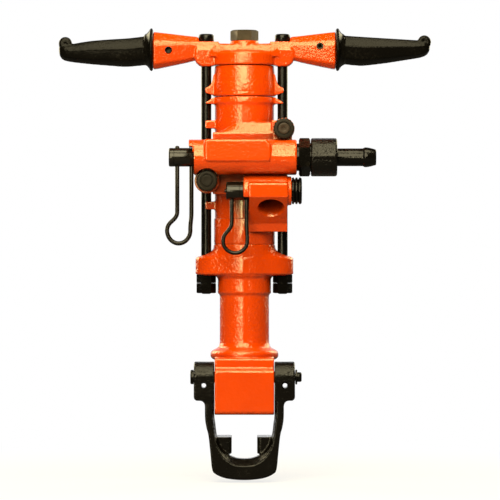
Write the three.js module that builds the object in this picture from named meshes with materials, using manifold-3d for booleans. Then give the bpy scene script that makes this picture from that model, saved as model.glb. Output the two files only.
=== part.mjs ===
// Hand-held pneumatic rock drill (sinker), in millimetres, +Z up.
// The origin is the mouth of the chuck on the drill axis. +X is towards the air hose and
// -Y is the front, where the throttle valve body and the levers are.
import * as THREE from 'three';
import { mergeVertices } from 'three/addons/utils/BufferGeometryUtils.js';
import Module from 'manifold-3d';

const wasm = await Module();
wasm.setup();

// Clearances
const seat = 0.3; // between pieces that rest on each other
const run = 0.3; // round pieces that turn or slide
const over = 3; // how far a cutting body runs past the face it cuts
const weld = 0.0001; // corners nearer than this are one corner
const ripple = 0.02; // unevenness of a face that is smoothed flat
const fillet = 2.5; // cut-backs of a corner above this are rounded, smaller ones stay chamfers

// Lengths that stack up along the drill axis
const headLength = 236;
const ringLength = 36.3;
const cylinderLength = 170.1;
const ratchetLength = 43.6;
const backheadLength = 35;
const headTop = headLength;
const ringTop = headTop + ringLength;
const cylinderTop = ringTop + cylinderLength;
const ratchetTop = cylinderTop + ratchetLength;
const backheadTop = ratchetTop + backheadLength;

// Side rods, which hold the castings together
const rodRadius = 7.15;
const rodOffset = 53.4;
const rodHole = rodRadius + run;
const rodRelief = 0.5; // extra room round a rod where a guide lug only steadies it
const rodHead = { radius: 10.75, height: 10.9, edge: 1.6 };
const nut = { radius: 13.65, height: 11.6, edge: 1.2, lockHeight: 14, lockEdge: 2 };
const rodTail = 0.8;
const lugHeight = 33.4;
const rodSeat = ratchetTop + lugHeight; // top face of the backhead lugs

// Chuck and what turns with it. The drops are measured from the top of the front head.
const chuckDrop = { flange: 116, hex: 128, top: 86, driver: 10 };
const chuckRadius = 25.5;
const chuckLip = 3; // how far its flange stands out
const chuck = {
  radius: chuckRadius, bottom: 1, flange: chuckRadius + chuckLip,
  flangeBottom: headTop - chuckDrop.flange,
  top: headTop - chuckDrop.top, hexFlats: 25.9, hexTop: headTop - chuckDrop.hex, bush: 19,
  dogHeight: 8, dogWidth: 12, dogs: 3, driverTop: headTop - chuckDrop.driver,
};
const bushWall = 4.5;
const headBush = { radius: chuck.radius + bushWall, bottom: 0.8, top: 57.7 };

// Piston and its bore. It stands over the ring, the chuck's hexagon and the driver.
const bore = 66.9;
const pistonUp = { bottom: 11.7, nose: 2, spline: 2, cavity: 7 };
const piston = {
  bottom: ringTop + pistonUp.bottom, length: 56, stroke: 64, edge: 1.5,
  noseRadius: 17.5, noseBottom: chuck.hexTop + pistonUp.nose,
  splineTop: chuck.driverTop + pistonUp.spline, splineDepth: 2.4, splineWidth: 5, splines: 8,
  cavityFloor: chuck.driverTop + pistonUp.cavity,
};
const pistonRadius = bore / 2 - run;
const pistonTop = piston.bottom + piston.length;
const strokeTop = pistonTop + piston.stroke;

// Rifle bar: a bar with helical splines that turns the piston
const rifleUp = 16; // from the piston's lower face to the foot of the bar
const rifleDrop = 30.4; // from the top of the cylinder to the bar's plain shoulder
const rifle = {
  bottom: piston.bottom + rifleUp, major: 12.4, minor: 10.2, lead: 1024, splines: 6, slack: 0.5,
  step: 30, shoulder: 14, shoulderBottom: cylinderTop - rifleDrop, tubeRoom: 0.7,
};
const nutBody = { radius: 20, length: 28 };

// Ratchet: an internally toothed ring round a carrier with four pawls
const ratchet = {
  bore: 68, floor: 5, teeth: 16, tip: 27, root: 29.6, ringHeight: 20, carrier: 24.5,
  washer: 3.6, toothAt: 21.6,
};
const pawl = {
  count: 4, pivot: 20.5, heel: 3.2, length: 10, tipOut: 4.15, tipIn: 0.8, slack: 0.4,
};

// Automatic valve between its chest and its cover
const valve = {
  cushion: 4, chestHeight: 20, recessDepth: 10, barRoom: 1, ring: 27.5, ringRoom: 0.5,
  ringWall: 10, ringHeight: 6, rib: 3,
};

// Blow tube down the middle
const tubeUp = { bottom: 2, head: 11 }; // over the piston's nose and the foot of the backhead
const tube = {
  radius: 4.5, bore: 2.6, bottom: piston.noseBottom + tubeUp.bottom,
  headRadius: 9, headHeight: 6, headBottom: ratchetTop + tubeUp.head,
};
const plug = { flats: 34, height: 14.5, threadRadius: 13, edge: 1.5 };

// Front head. Its lugs and collar hang below its top.
const headDrop = { collarBottom: 69, collarTop: 46, lugBottom: 42, lugTop: 18.5 };
const tubeWall = 6;
const collarOut = 2.9;
const head = {
  tube: chuck.flange + tubeWall, collar: chuck.flange + tubeWall + collarOut,
  collarBottom: headTop - headDrop.collarBottom,
  collarTop: headTop - headDrop.collarTop, blend: 3, flange: 43,
  lugReach: 25.5, lugBottom: headTop - headDrop.lugBottom, lugTop: headTop - headDrop.lugTop,
  shoulder: 11, lobes: 6,
  blockHalf: 41.2, blockFront: 63.5, blockBack: 41, blockTop: 78, crown: 18, corner: 6,
  flare: 47.5, flareBottom: 76, flareTop: 91, flareEdge: 3,
};

// Retainer yoke and its bolt, whose reaches are measured from the outer faces of the hubs
const bolt = {
  depth: 42, height: 51.8, radius: 8, headRadius: 8.4, headReach: 4.8, tailReach: 9.3, stub: 6.8,
  grooveReach: 1.8, ringWidth: 1.4, ringRadius: 10.5, grooveDepth: 1.6, tipWidth: 2.4,
};
const yoke = {
  hubInner: head.blockHalf + 2 * seat, hubOuter: 70.2, hubRadius: 21.8, hubBottom: 19.5, hubCorner: 5,
  drop: 92, halfWidth: 54.6, slotHalf: 17.8, prongTop: 31, prongBottom: 55, prongBack: 19,
  armFront: 61, armBack: 26, lip: 9.5, lipDepth: 15, holeRadius: 3.3,
  holeRing: 5.2, holeAcross: 56.3, holeHeight: 40.6,
};

// Front bushing ring
const ring = { radius: 42.6, edge: 0.8 };

const valveDepth = 70; // how far the two valve axes lie in front of the drill axis
const axisUp = 20; // height of those axes over the face of the cylinder's chest
const chestFront = valveDepth - axisUp;
const padUp = 26.5; // height of the valve body's pad over the throttle axis
const blockUp = 24; // height of the exhaust block's face over the blow valve axis

// Cylinder casting
const cylinder = {
  radius: 41.5, topBand: 43, bandHeight: 16, edge: 1.2,
  earReach: 13, earThick: 6.5, earDepth: 26, earUp: 158.9, nubHeight: 11, nubUpper: 125.9, nubLower: 12.7,
  chestLeft: 44, chestRight: 46, chestBottom: 33.7, chestCorner: 4,
  shoulderTop: 133.2, shoulderStep: 13.7, shoulderRun: 10, lugRadius: 12, lugBack: 15,
};

// Throttle valve body, screwed on the front of the cylinder
const throttleUp = 84; // height of the throttle axis over the top of the bushing ring
const blowUp = 37.7; // height of the blow valve axis over the top of the bushing ring
const throttleZ = ringTop + throttleUp;
const blowZ = ringTop + blowUp;
const body = {
  radius: 24.5, left: 71.3, right: 72.5, lip: 5.3, baseLeft: 66, baseRight: 58, baseHalf: 23,
  padLeft: 55, padRight: 36.7, padFront: valveDepth + padUp, padBottom: 6.6, padCorner: 4, padCut: 7,
  earThick: 14, earRadius: 17.5, port: 7, portAcross: 21, edge: 1,
};
const screw = {
  upperAcross: 54.6, upperRise: 39.7, lowerAcross: 51.8, lowerDrop: 32.3,
  head: 14.85, headHeight: 15.5, teeth: 18, toothDepth: 0.9, shank: 6, shankEnd: 22, relief: 1.9,
  recess: 9.5, recessDepth: 2.2, disc: 7.85, discHeight: 1.6, discHole: 2.4, edge: 2,
};

// Throttle spindle and its wire lever
const throttle = { radius: 12.95, left: 104.4, right: 44, bore: 8.5, boreLeft: 10, window: 7, edge: 1 };
const throttleWire = {
  radius: 3, left: -92.7, right: -73.1, nib: 15.7, tail: 9, straight: 75, slack: 0.5, swing: 90, steps: 30,
  loop: { left: -106.7, right: -74.6, drop: 100.9, bottom: 119, bend: 13 },
};
const slotMargin = 18; // degrees of free room past each end of a lever's swing
const slotDepth = 2.2;

// Exhaust block, part of the cylinder casting, and the blow valve in it
const block = {
  left: 6.2, right: 59.6, front: valveDepth + blockUp, faceTop: 10, faceBottom: 9, radius: 21.5,
  slopeEnd: 45, skirtEnd: 56.5, skirtOut: 1, skirtWall: 2.9, slopeOut: 3.5,
  flangeRight: 65.2, flangeRadius: 20,
  portAcross: 36.8, portRadius: 18.9, portDepth: 18, portDrop: 15, passage: 8, collarLeft: 1.4,
  corner: 3, backPlane: 30, topBack: 18, topFront: 14, crown: 10,
};
const blow = { radius: 12.6, neck: 9, neckStart: 11, left: 25.2, right: 50, nib: 2.4 };
const blowWire = {
  radius: 2.75, left: -17.3, right: 3.1, nib: 11, tail: 9, straight: 43, slack: 0.5, swing: 50, steps: 27,
  loop: { left: -29.3, right: 4, drop: 69.5, bottom: 86, bend: 13 },
};
const blowPlug = { radius: 18.5, rib: 2.4, ribs: 2, length: 14, thread: 14.5, threadLength: 12 };

// Air inlet, in line from the right end of the valve body outwards
const inletRun = { neck: 2.7, hex: 15.7, spigot: 13.1, sleeveGap: 0.8, sleeve: 36.4, stem: 77.7, barb: 61.2 };
const hexLeft = body.right + inletRun.neck;
const hexRight = hexLeft + inletRun.hex;
const inlet = {
  flats: 46, hexLeft, hexRight, neck: 19, thread: 16.7, threadLength: 19,
  bore: 9.5, spigot: 20, spigotEnd: hexRight + inletRun.spigot, edge: 1.6,
};
const sleeveLeft = hexRight + inletRun.sleeveGap;
const sleeve = { radius: 26.5, left: sleeveLeft, right: sleeveLeft + inletRun.sleeve, wall: 13.8, edge: 2 };
const flangeLeft = inlet.spigotEnd + seat;
const stem = {
  flange: 19.7, flangeLeft, flangeWidth: 9.7, radius: 12.3, bore: 8.5, end: flangeLeft + inletRun.stem,
  barbAt: flangeLeft + inletRun.barb, barb: 13.8, tip: 10.8, step: 1,
};

// Backhead and handles
const backhead = {
  radius: 43.6, lobes: 10, reach: 26.4, wall: 22, shoulder: 29, web: 30.3, webRadius: 25,
  boss: 19.5, armZ: 22.7, armInner: 48, armOuter: 127.5, armSmall: 14.6, armLarge: 26.3,
  armWaist: 18, armWaistAt: 72, armHip: 24.2, armHipAt: 104, armLip: 2.5, socketDepth: 43.5,
  seatRadius: 13.5, pocket: 11.6,
};
const armZ = ratchetTop + backhead.armZ;
const core = { radius: 12, bore: 8, length: 143 };
const pin = {
  radius: 4.7, bore: 2.6, leftAcross: 106, leftRise: -1.7, rightAcross: 105.4, rightRise: 4,
  leftFront: 15, rightFront: 21.5, back: 20,
};
const grip = {
  start: backhead.armOuter + seat, flange: 30.2, flangeEdge: 28, flangeWidth: 7.5, length: 133.4, width: 40.5,
  hook: 10, hookWidth: 17, hookAcross: 123, hookRise: 11,
};

const orange = { color: 0xf05a05, roughness: 0.35, metalness: 0 };
const black = { color: 0x15130f, roughness: 0.4, metalness: 0.3 };
const darkSteel = { color: 0x3a352c, roughness: 0.45, metalness: 0.7 };
const steel = { color: 0x8d8a84, roughness: 0.35, metalness: 0.9 };
const bronze = { color: 0x8a6a3c, roughness: 0.4, metalness: 0.8 };
const rubber = { color: 0x1a1815, roughness: 0.6, metalness: 0 };

// Number of flat facets round curved forms, from large castings down to small holes
const facets = { drum: 24, boss: 16, round: 12, bar: 10, hole: 8, small: 6, wire: 6, curve: 2 };

// A closed mesh becomes a solid: like corners are joined and flat-out triangles dropped.
function solid(geometry) {
  const bare = new THREE.BufferGeometry();
  bare.setAttribute('position', geometry.getAttribute('position'));
  if (geometry.index) bare.setIndex(geometry.index);
  const merged = mergeVertices(bare, weld);
  const at = merged.getAttribute('position').array;
  const corners = [];
  let volume = 0;
  const index = merged.index.array;
  for (let i = 0; i < index.length; i += 3) {
    const [a, b, c] = [index[i], index[i + 1], index[i + 2]];
    if (a === b || b === c || c === a) continue;
    corners.push(a, b, c);
    const [p, q, r] = [a, b, c].map((n) => new THREE.Vector3().fromArray(at, 3 * n));
    volume += p.dot(q.cross(r));
  }
  if (volume < 0) {
    for (let i = 0; i < corners.length; i += 3) {
      [corners[i], corners[i + 1]] = [corners[i + 1], corners[i]];
    }
  }
  const vertProperties = new Float32Array(at);
  const triVerts = new Uint32Array(corners);
  return new wasm.Manifold(new wasm.Mesh({ numProp: 3, vertProperties, triVerts }));
}

const join = (first, ...others) => others.reduce((sum, next) => sum.add(next), first);
const cut = (first, ...others) => others.reduce((rest, next) => rest.subtract(next), first);
const point = (list) => new THREE.Vector3(...list);

// A bar or a cone between two points.
function bar(radius, from, to, { sides = facets.round, end = radius, turn = 0 } = {}) {
  const start = point(from);
  const along = point(to).sub(start);
  const geometry = new THREE.CylinderGeometry(end, radius, along.length(), sides);
  geometry.rotateY(turn);
  const up = new THREE.Vector3(0, 1, 0);
  geometry.applyQuaternion(new THREE.Quaternion().setFromUnitVectors(up, along.clone().normalize()));
  const middle = start.addScaledVector(along, 0.5);
  geometry.translate(middle.x, middle.y, middle.z);
  return solid(geometry);
}

// Radius to the corners of a hole whose flats lie at the radius given, so that a round piece of
// that radius clears it however either of them is turned.
const clearOf = (radius, sides) => radius / Math.cos(Math.PI / sides);

// A body that drills such a hole.
const drill = (radius, from, to, sides = facets.round) => bar(clearOf(radius, sides), from, to, { sides });

// A box between two opposite corners.
function box([x0, y0, z0], [x1, y1, z1]) {
  const geometry = new THREE.BoxGeometry(x1 - x0, y1 - y0, z1 - z0);
  geometry.translate((x0 + x1) / 2, (y0 + y1) / 2, (z0 + z1) / 2);
  return solid(geometry);
}

// A closed profile of [radius, height] turned about the Z axis.
function turned(profile, sides = facets.boss) {
  const line = profile.map(([r, h]) => new THREE.Vector2(r, h));
  const onAxis = profile[0][0] === 0 && profile[profile.length - 1][0] === 0;
  if (!onAxis) line.push(line[0].clone());
  return new THREE.LatheGeometry(line, sides).rotateX(Math.PI / 2);
}

const lathe = (profile, sides) => solid(turned(profile, sides));

// The same profile turned about a line parallel to X, with heights read as X.
function latheX(profile, y, z, sides) {
  return solid(turned(profile, sides).rotateY(Math.PI / 2).translate(0, y, z));
}

// An outline with cut-back corners: each point is [u, v] or [u, v, cutBack]. A cut-back is
// limited by just under half of the shorter edge beside it.
function outline(points) {
  const shape = new THREE.Shape();
  const corners = points.map(([u, v]) => new THREE.Vector2(u, v));
  points.forEach(([, , wanted = 0], i) => {
    const here = corners[i];
    const before = corners[(i + points.length - 1) % points.length];
    const after = corners[(i + 1) % points.length];
    const back = Math.min(wanted, 0.48 * here.distanceTo(before), 0.48 * here.distanceTo(after));
    const enter = here.clone().add(before.clone().sub(here).setLength(back));
    const leave = here.clone().add(after.clone().sub(here).setLength(back));
    if (i === 0) shape.moveTo(enter.x, enter.y);
    else shape.lineTo(enter.x, enter.y);
    if (back > fillet) shape.quadraticCurveTo(here.x, here.y, leave.x, leave.y);
    else if (back > 0) shape.lineTo(leave.x, leave.y);
  });
  shape.closePath();
  return shape;
}

const axes = {
  xz: [point([1, 0, 0]), point([0, 0, 1]), point([0, -1, 0])],
  yz: [point([0, 1, 0]), point([0, 0, 1]), point([1, 0, 0])],
  xy: [point([1, 0, 0]), point([0, 1, 0]), point([0, 0, 1])],
};

// A shape drawn in one of the planes above and pushed from one depth to the other.
function slab(plane, shape, from, to) {
  const geometry = new THREE.ExtrudeGeometry(shape, {
    depth: Math.abs(to - from), bevelEnabled: false, curveSegments: facets.curve,
  });
  const low = plane === 'xz' ? -Math.max(from, to) : Math.min(from, to);
  geometry.translate(0, 0, low);
  geometry.applyMatrix4(new THREE.Matrix4().makeBasis(...axes[plane]));
  return solid(geometry);
}

// A skin over rings with the same number of points, closed by a flat face at each end.
function skin(rings) {
  const count = rings[0].length;
  const corners = rings.flat();
  const faces = [];
  for (let r = 0; r + 1 < rings.length; r += 1) {
    for (let i = 0; i < count; i += 1) {
      const a = r * count + i;
      const b = r * count + ((i + 1) % count);
      faces.push(a, b, b + count, a, b + count, a + count);
    }
  }
  for (const [first, ring] of [[0, rings[0]], [corners.length - count, rings[rings.length - 1]]]) {
    const normal = new THREE.Vector3();
    ring.forEach((p, i) => normal.add(point(p).cross(point(ring[(i + 1) % count]))));
    const drop = ['x', 'y', 'z'].indexOf(
      ['x', 'y', 'z'].reduce((m, k) => (Math.abs(normal[k]) > Math.abs(normal[m]) ? k : m)));
    const flat = ring.map((p) => new THREE.Vector2(...p.filter((_, k) => k !== drop)));
    for (const [a, b, c] of THREE.ShapeUtils.triangulateShape(flat, [])) {
      const up = point(ring[b]).sub(point(ring[a])).cross(point(ring[c]).sub(point(ring[a])));
      const same = up.dot(normal) > 0;
      const flip = first === 0 ? same : !same;
      faces.push(...(flip ? [first + a, first + c, first + b] : [first + a, first + b, first + c]));
    }
  }
  const geometry = new THREE.BufferGeometry();
  geometry.setAttribute('position', new THREE.Float32BufferAttribute(corners.flat(), 3));
  geometry.setIndex(faces);
  return solid(geometry);
}

const circle = (count, place) => Array.from({ length: count }, (_, i) => place((2 * Math.PI * i) / count));

// A round wire along a path, drawn as straight runs and smooth bends.
function wire(radius, pieces, steps, sides = facets.wire) {
  const path = new THREE.CurvePath();
  pieces.forEach((piece) => path.add(piece));
  const corner = (a) => new THREE.Vector2(radius * Math.cos(a), radius * Math.sin(a));
  const section = new THREE.Shape(circle(sides, corner));
  return solid(new THREE.ExtrudeGeometry(section, { steps, extrudePath: path, bevelEnabled: false }));
}

const group = new THREE.Group();

// Adds a solid to the drill as a named mesh with a finish of its own.
function part(name, shape, finish, place = [0, 0, 0]) {
  const { vertProperties, triVerts, numProp } = shape.asOriginal().simplify(ripple).getMesh();
  const geometry = new THREE.BufferGeometry();
  const corners = new Float32Array((vertProperties.length / numProp) * 3);
  for (let i = 0; i < corners.length / 3; i += 1) {
    corners.set(vertProperties.subarray(i * numProp, i * numProp + 3), 3 * i);
  }
  geometry.setAttribute('position', new THREE.BufferAttribute(corners, 3));
  geometry.setIndex(new THREE.BufferAttribute(triVerts, 1));
  geometry.computeVertexNormals();
  const mesh = new THREE.Mesh(geometry, new THREE.MeshStandardMaterial(finish));
  mesh.name = name;
  mesh.position.set(...place);
  group.add(mesh);
}

// A ring of points at one height whose radius swells towards +X and -X, as the lugs of a
// casting do round its drum.
function lobedRing(z, core, reach, lobes, count = facets.drum) {
  return circle(count, (a) => {
    const r = core + reach * Math.abs(Math.cos(a)) ** lobes;
    return [r * Math.cos(a), r * Math.sin(a), z];
  });
}

const bothSides = (make) => [-1, 1].map(make);
const sideName = (side) => (side < 0 ? 'left' : 'right');

// Points of an outline moved outwards by a distance and then turned about the axis.
function spun(points, angle, outwards = 0) {
  return points.map(([u, v, back = 0]) => [
    (u + outwards) * Math.cos(angle) - v * Math.sin(angle),
    (u + outwards) * Math.sin(angle) + v * Math.cos(angle),
    back,
  ]);
}

// Front head: a tube with lugs for the side rods above and a block for the retainer bolt below.
function frontHead() {
  const h = head;
  const lugEnd = h.lugReach;
  const flange = skin([
    lobedRing(h.lugBottom, h.flange - h.blend, lugEnd + h.blend - seat, h.lobes),
    lobedRing(h.lugBottom + h.blend / 2, h.flange, lugEnd, h.lobes),
    lobedRing(h.lugTop, h.flange, lugEnd, h.lobes),
    lobedRing(h.lugTop + h.blend, h.flange, lugEnd - h.blend, h.lobes),
    lobedRing(h.lugTop + h.shoulder / 2, h.flange, lugEnd / 2, h.lobes),
    lobedRing(h.lugTop + h.shoulder, h.flange, h.blend / 2, h.lobes),
    lobedRing(headTop, h.flange - ring.edge, 0, h.lobes),
  ]);
  const tubeBody = lathe([
    [0, h.flareBottom], [h.flare - h.flareEdge, h.flareBottom], [h.flare, h.flareBottom + h.flareEdge],
    [h.flare, h.flareTop - h.corner], [h.flare - h.flareEdge, h.flareTop - h.flareEdge],
    [h.tube + h.flareEdge, h.flareTop], [h.tube, h.flareTop + h.corner],
    [h.tube, h.collarBottom - seat], [h.collar, h.collarBottom], [h.collar, h.collarTop],
    [h.collar + h.blend, h.lugBottom + h.blend], [0, h.lugBottom + h.blend],
  ], facets.drum);
  const blockSide = outline([
    [-h.blockFront, 0, h.corner], [h.blockBack, 0, h.corner], [h.blockBack, h.blockTop],
    [-h.blockFront + h.crown, h.blockTop, h.crown / 2], [-h.blockFront, h.blockTop - h.crown, h.crown / 2],
  ]);
  const lowerBlock = slab('yz', blockSide, -h.blockHalf, h.blockHalf);
  const bores = [
    drill(headBush.radius + seat, [0, 0, -over], [0, 0, headBush.top + seat]),
    drill(chuck.radius + run, [0, 0, 0], [0, 0, chuck.flangeBottom]),
    drill(chuck.flange + run, [0, 0, chuck.flangeBottom - run], [0, 0, headTop + over]),
    drill(bolt.radius + run, [-h.blockHalf - over, -bolt.depth, bolt.height],
      [h.blockHalf + over, -bolt.depth, bolt.height]),
    ...bothSides((side) => drill(rodHole, [side * rodOffset, 0, h.lugBottom - over],
      [side * rodOffset, 0, headTop + over], facets.bar)),
  ];
  return cut(join(flange, tubeBody, lowerBlock), ...bores);
}

// Chuck: turns in the front head and carries the hexagon bushing that drives the steel.
function hexCut(flats, from, to) {
  return bar(flats / Math.sqrt(3), [0, 0, from], [0, 0, to], { sides: 6 });
}

function dogs(radius, width, from, to) {
  const bars = circle(chuck.dogs, (a) => {
    const half = width / 2;
    return slab('xy', outline(spun([[0, -half], [radius, -half], [radius, half], [0, half]], a)), from, to);
  });
  return join(...bars);
}

function chuckBody() {
  const c = chuck;
  const outside = lathe([
    [0, c.bottom], [c.radius, c.bottom], [c.radius, c.flangeBottom], [c.flange, c.flangeBottom],
    [c.flange, c.top], [0, c.top],
  ], facets.round);
  return cut(outside,
    drill(c.bush + seat, [0, 0, c.bottom - over], [0, 0, c.top + over]),
    dogs(c.flange + over, c.dogWidth + 2 * seat, c.top - c.dogHeight, c.top + over));
}

function chuckBushing() {
  const outside = bar(chuck.bush, [0, 0, chuck.bottom], [0, 0, chuck.hexTop]);
  return cut(outside, hexCut(chuck.hexFlats, chuck.bottom - over, chuck.hexTop + over));
}

// A round section with straight grooves, as on the nose of the piston.
function splinedShape(radius, depth, width, count) {
  const half = width / 2;
  const points = [];
  circle(count, (a) => {
    const spread = Math.asin(half / radius);
    const next = (2 * Math.PI) / count;
    const spot = (r, angle) => points.push([r * Math.cos(a + angle), r * Math.sin(a + angle)]);
    spot(radius - depth, -Math.asin(half / (radius - depth)));
    spot(radius - depth, Math.asin(half / (radius - depth)));
    spot(radius, spread);
    spot(radius, next / 2);
    spot(radius, next - spread);
  });
  return outline(points);
}

function chuckDriver() {
  const c = chuck;
  const p = piston;
  const inside = splinedShape(p.noseRadius + run, p.splineDepth, p.splineWidth - 2 * run, p.splines);
  const teeth = slab('xy', inside, c.top - c.dogHeight - over, c.driverTop + over);
  const drum = bar(c.flange, [0, 0, c.top + seat], [0, 0, c.driverTop]);
  const dogBars = dogs(c.flange - over, c.dogWidth, c.top - c.dogHeight + seat, c.top + over);
  const dogRing = cut(dogBars, drill(c.bush + 2 * seat, [0, 0, 0], [0, 0, c.top + seat]));
  return cut(join(drum, dogRing), teeth);
}

// Piston: a head in the cylinder bore and a splined nose that strikes the steel.
function pistonBody() {
  const p = piston;
  const drum = lathe([
    [0, p.splineTop], [p.noseRadius, p.splineTop], [p.noseRadius, p.bottom],
    [pistonRadius - p.edge, p.bottom],
    [pistonRadius, p.bottom + p.edge], [pistonRadius, pistonTop - p.edge],
    [pistonRadius - p.edge, pistonTop], [0, pistonTop],
  ], facets.boss);
  const grooved = splinedShape(p.noseRadius, p.splineDepth, p.splineWidth, p.splines);
  const nose = slab('xy', grooved, p.noseBottom, p.splineTop + weld);
  return cut(join(drum, nose),
    drill(tube.radius + run, [0, 0, p.noseBottom - over], [0, 0, pistonTop], facets.hole),
    drill(rifle.major + rifle.slack, [0, 0, p.cavityFloor], [0, 0, pistonTop], facets.bar),
    drill(nutBody.radius + seat, [0, 0, pistonTop - nutBody.length - seat], [0, 0, pistonTop + over]));
}

// A section with helical splines, as rings of points that turn as they rise.
function riflePrism(slack, from, to) {
  const r = rifle;
  const quarter = Math.PI / (2 * r.splines);
  const inner = r.minor + slack;
  const outer = r.major + slack;
  const wide = quarter + slack / r.major;
  const rows = Math.max(2, Math.round((to - from) / r.step));
  return skin(Array.from({ length: rows + 1 }, (_, row) => {
    const z = from + ((to - from) * row) / rows;
    const twist = (-2 * Math.PI * z) / r.lead;
    return circle(r.splines, (a) => [
      [outer, -wide], [outer, wide], [inner, wide + quarter / 2], [inner, 4 * quarter - wide - quarter / 2],
    ].map(([radius, angle]) => {
      const turnedBy = a + angle + twist;
      return [radius * Math.cos(turnedBy), radius * Math.sin(turnedBy), z];
    })).flat();
  }));
}

function rifleNut() {
  const from = pistonTop - nutBody.length;
  const outside = bar(nutBody.radius, [0, 0, from], [0, 0, pistonTop - seat]);
  return cut(outside, riflePrism(rifle.slack, from - over, pistonTop + over));
}

const carrierFloor = cylinderTop + ratchet.floor + seat;
const carrierTop = carrierFloor + ratchet.ringHeight;

function pawlPocket(angle) {
  const s = 2 * pawl.slack;
  const heel = pawl.heel + pawl.slack;
  const away = ratchet.carrier + over - pawl.pivot;
  const shape = outline(spun([
    [-heel, 0], [0, -s], [away, -s], [away, pawl.length + 2 * s], [0, pawl.length + 2 * s],
    [pawl.tipIn - s - pawl.slack, pawl.length],
  ], angle, pawl.pivot));
  const [[x, y]] = spun([[0, 0]], angle, pawl.pivot);
  const seatCut = bar(heel, [x, y, carrierFloor], [x, y, carrierTop + over], { sides: facets.hole });
  return join(slab('xy', shape, carrierFloor, carrierTop + over), seatCut);
}

function pawlBody(angle) {
  const shape = outline(spun([
    [0, 0], [pawl.heel, 0], [pawl.tipOut, pawl.length], [pawl.tipIn, pawl.length], [-pawl.heel, 0],
  ], angle, pawl.pivot));
  const [[x, y]] = spun([[0, 0]], angle, pawl.pivot);
  const low = carrierFloor + seat;
  const high = carrierTop - seat;
  const heel = bar(pawl.heel, [x, y, low], [x, y, high], { sides: facets.hole });
  return join(slab('xy', shape, low, high), heel);
}

// Rifle bar: splined below, with the pawl carrier on its head.
function rifleBar() {
  const r = rifle;
  const shaft = riflePrism(0, r.bottom, r.shoulderBottom + over);
  const top = lathe([
    [0, r.shoulderBottom], [r.shoulder, r.shoulderBottom], [r.shoulder, cylinderTop + seat + run],
    [ratchet.carrier, cylinderTop + seat + run], [ratchet.carrier, carrierTop], [0, carrierTop],
  ], facets.round);
  const pockets = circle(pawl.count, pawlPocket);
  const hole = drill(tube.radius + r.tubeRoom,
    [0, 0, r.bottom - over], [0, 0, carrierTop + over], facets.hole);
  return cut(join(shaft, top), hole, ...pockets);
}

// Ratchet ring: saw teeth on the inside, one steep face to each tooth. Shares of the pitch.
const toothShares = [0, 0.5, 0.97];

function ratchetRing() {
  const r = ratchet;
  const pitch = 360 / r.teeth;
  const points = [];
  circle(r.teeth, (a) => {
    const start = a + THREE.MathUtils.degToRad(r.toothAt);
    for (const share of toothShares) {
      const angle = start + THREE.MathUtils.degToRad(share * pitch);
      const radius = r.tip + (r.root - r.tip) * share;
      points.push([radius * Math.cos(angle), radius * Math.sin(angle)]);
    }
  });
  const outside = bar(r.bore / 2 - seat, [0, 0, carrierFloor], [0, 0, carrierTop]);
  return cut(outside, slab('xy', outline(points), carrierFloor - over, carrierTop + over));
}

// Ratchet housing: the drum under the backhead, with lugs that steady the side rods.
function guideLug(side, bottom, thick, reach, root) {
  const inner = cylinder.radius - over;
  const outer = cylinder.radius + reach;
  const shape = outline([
    [side * inner, bottom], [side * outer, bottom, thick / 5], [side * outer, bottom + thick, thick / 5],
    [side * (cylinder.radius + reach / 2), bottom + thick + root / 3, root / 4],
    [side * inner, bottom + thick + 2 * root],
  ]);
  const half = cylinder.earDepth / 2;
  const groove = drill(rodHole + rodRelief, [side * rodOffset, 0, bottom - over],
    [side * rodOffset, 0, bottom + thick + 2 * root + over], facets.hole);
  return cut(slab('xz', shape, -half, half), groove);
}

function ratchetHousing() {
  const low = cylinderTop + seat;
  const c = cylinder;
  const drum = lathe([
    [0, low], [c.topBand - c.edge, low], [c.topBand, low + c.edge], [c.topBand, low + c.bandHeight],
    [c.topBand - c.edge / 2, low + c.bandHeight + c.edge], [c.topBand - c.edge / 2, ratchetTop - c.edge],
    [c.topBand - c.edge, ratchetTop], [0, ratchetTop],
  ], facets.drum);
  const lugs = bothSides((side) => (
    guideLug(side, low + c.edge * 2, c.earThick * 1.3, c.earReach, c.earThick)));
  return cut(join(drum, ...lugs),
    drill(ratchet.carrier + run, [0, 0, low - over], [0, 0, ratchetTop]),
    drill(ratchet.bore / 2, [0, 0, carrierFloor - seat], [0, 0, ratchetTop + over]));
}

// Automatic valve: a ring that slides between its chest and its cover.
const chestBottom = strokeTop + valve.cushion;
const chestTop = chestBottom + valve.chestHeight;

const valveHole = clearOf(rifle.shoulder + valve.barRoom, facets.round);

function valveChest() {
  const v = valve;
  const floor = chestTop - v.recessDepth;
  const recess = clearOf(v.ring + v.ringRoom, facets.round);
  return lathe([
    [valveHole, chestBottom], [bore / 2 - seat, chestBottom], [bore / 2 - seat, chestTop],
    [recess, chestTop], [recess, floor], [valveHole, floor],
  ], facets.round);
}

function valveCover() {
  const low = chestTop + seat;
  return lathe([
    [valveHole, low], [bore / 2 - seat, low], [bore / 2 - seat, cylinderTop], [valveHole, cylinderTop],
  ], facets.round);
}

function automaticValve() {
  const v = valve;
  const low = chestTop - v.recessDepth + seat;
  return lathe([
    [v.ring - v.ringWall, low], [v.ring, low], [v.ring, low + v.ringHeight / 2],
    [v.ring - v.rib, low + v.ringHeight], [v.ring - v.ringWall, low + v.ringHeight],
  ], facets.round);
}

// A fan of the plane across a valve axis, from straight down to the front, that a lever sweeps.
function sweepShape(z, radius, swing) {
  const fan = [[-valveDepth, z]];
  const total = swing + 2 * slotMargin;
  const steps = Math.ceil(total / 12);
  for (let i = 0; i <= steps; i += 1) {
    const angle = THREE.MathUtils.degToRad((total * i) / steps - slotMargin);
    fan.push([-valveDepth - radius * Math.sin(angle), z - radius * Math.cos(angle)]);
  }
  return outline(fan);
}

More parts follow.
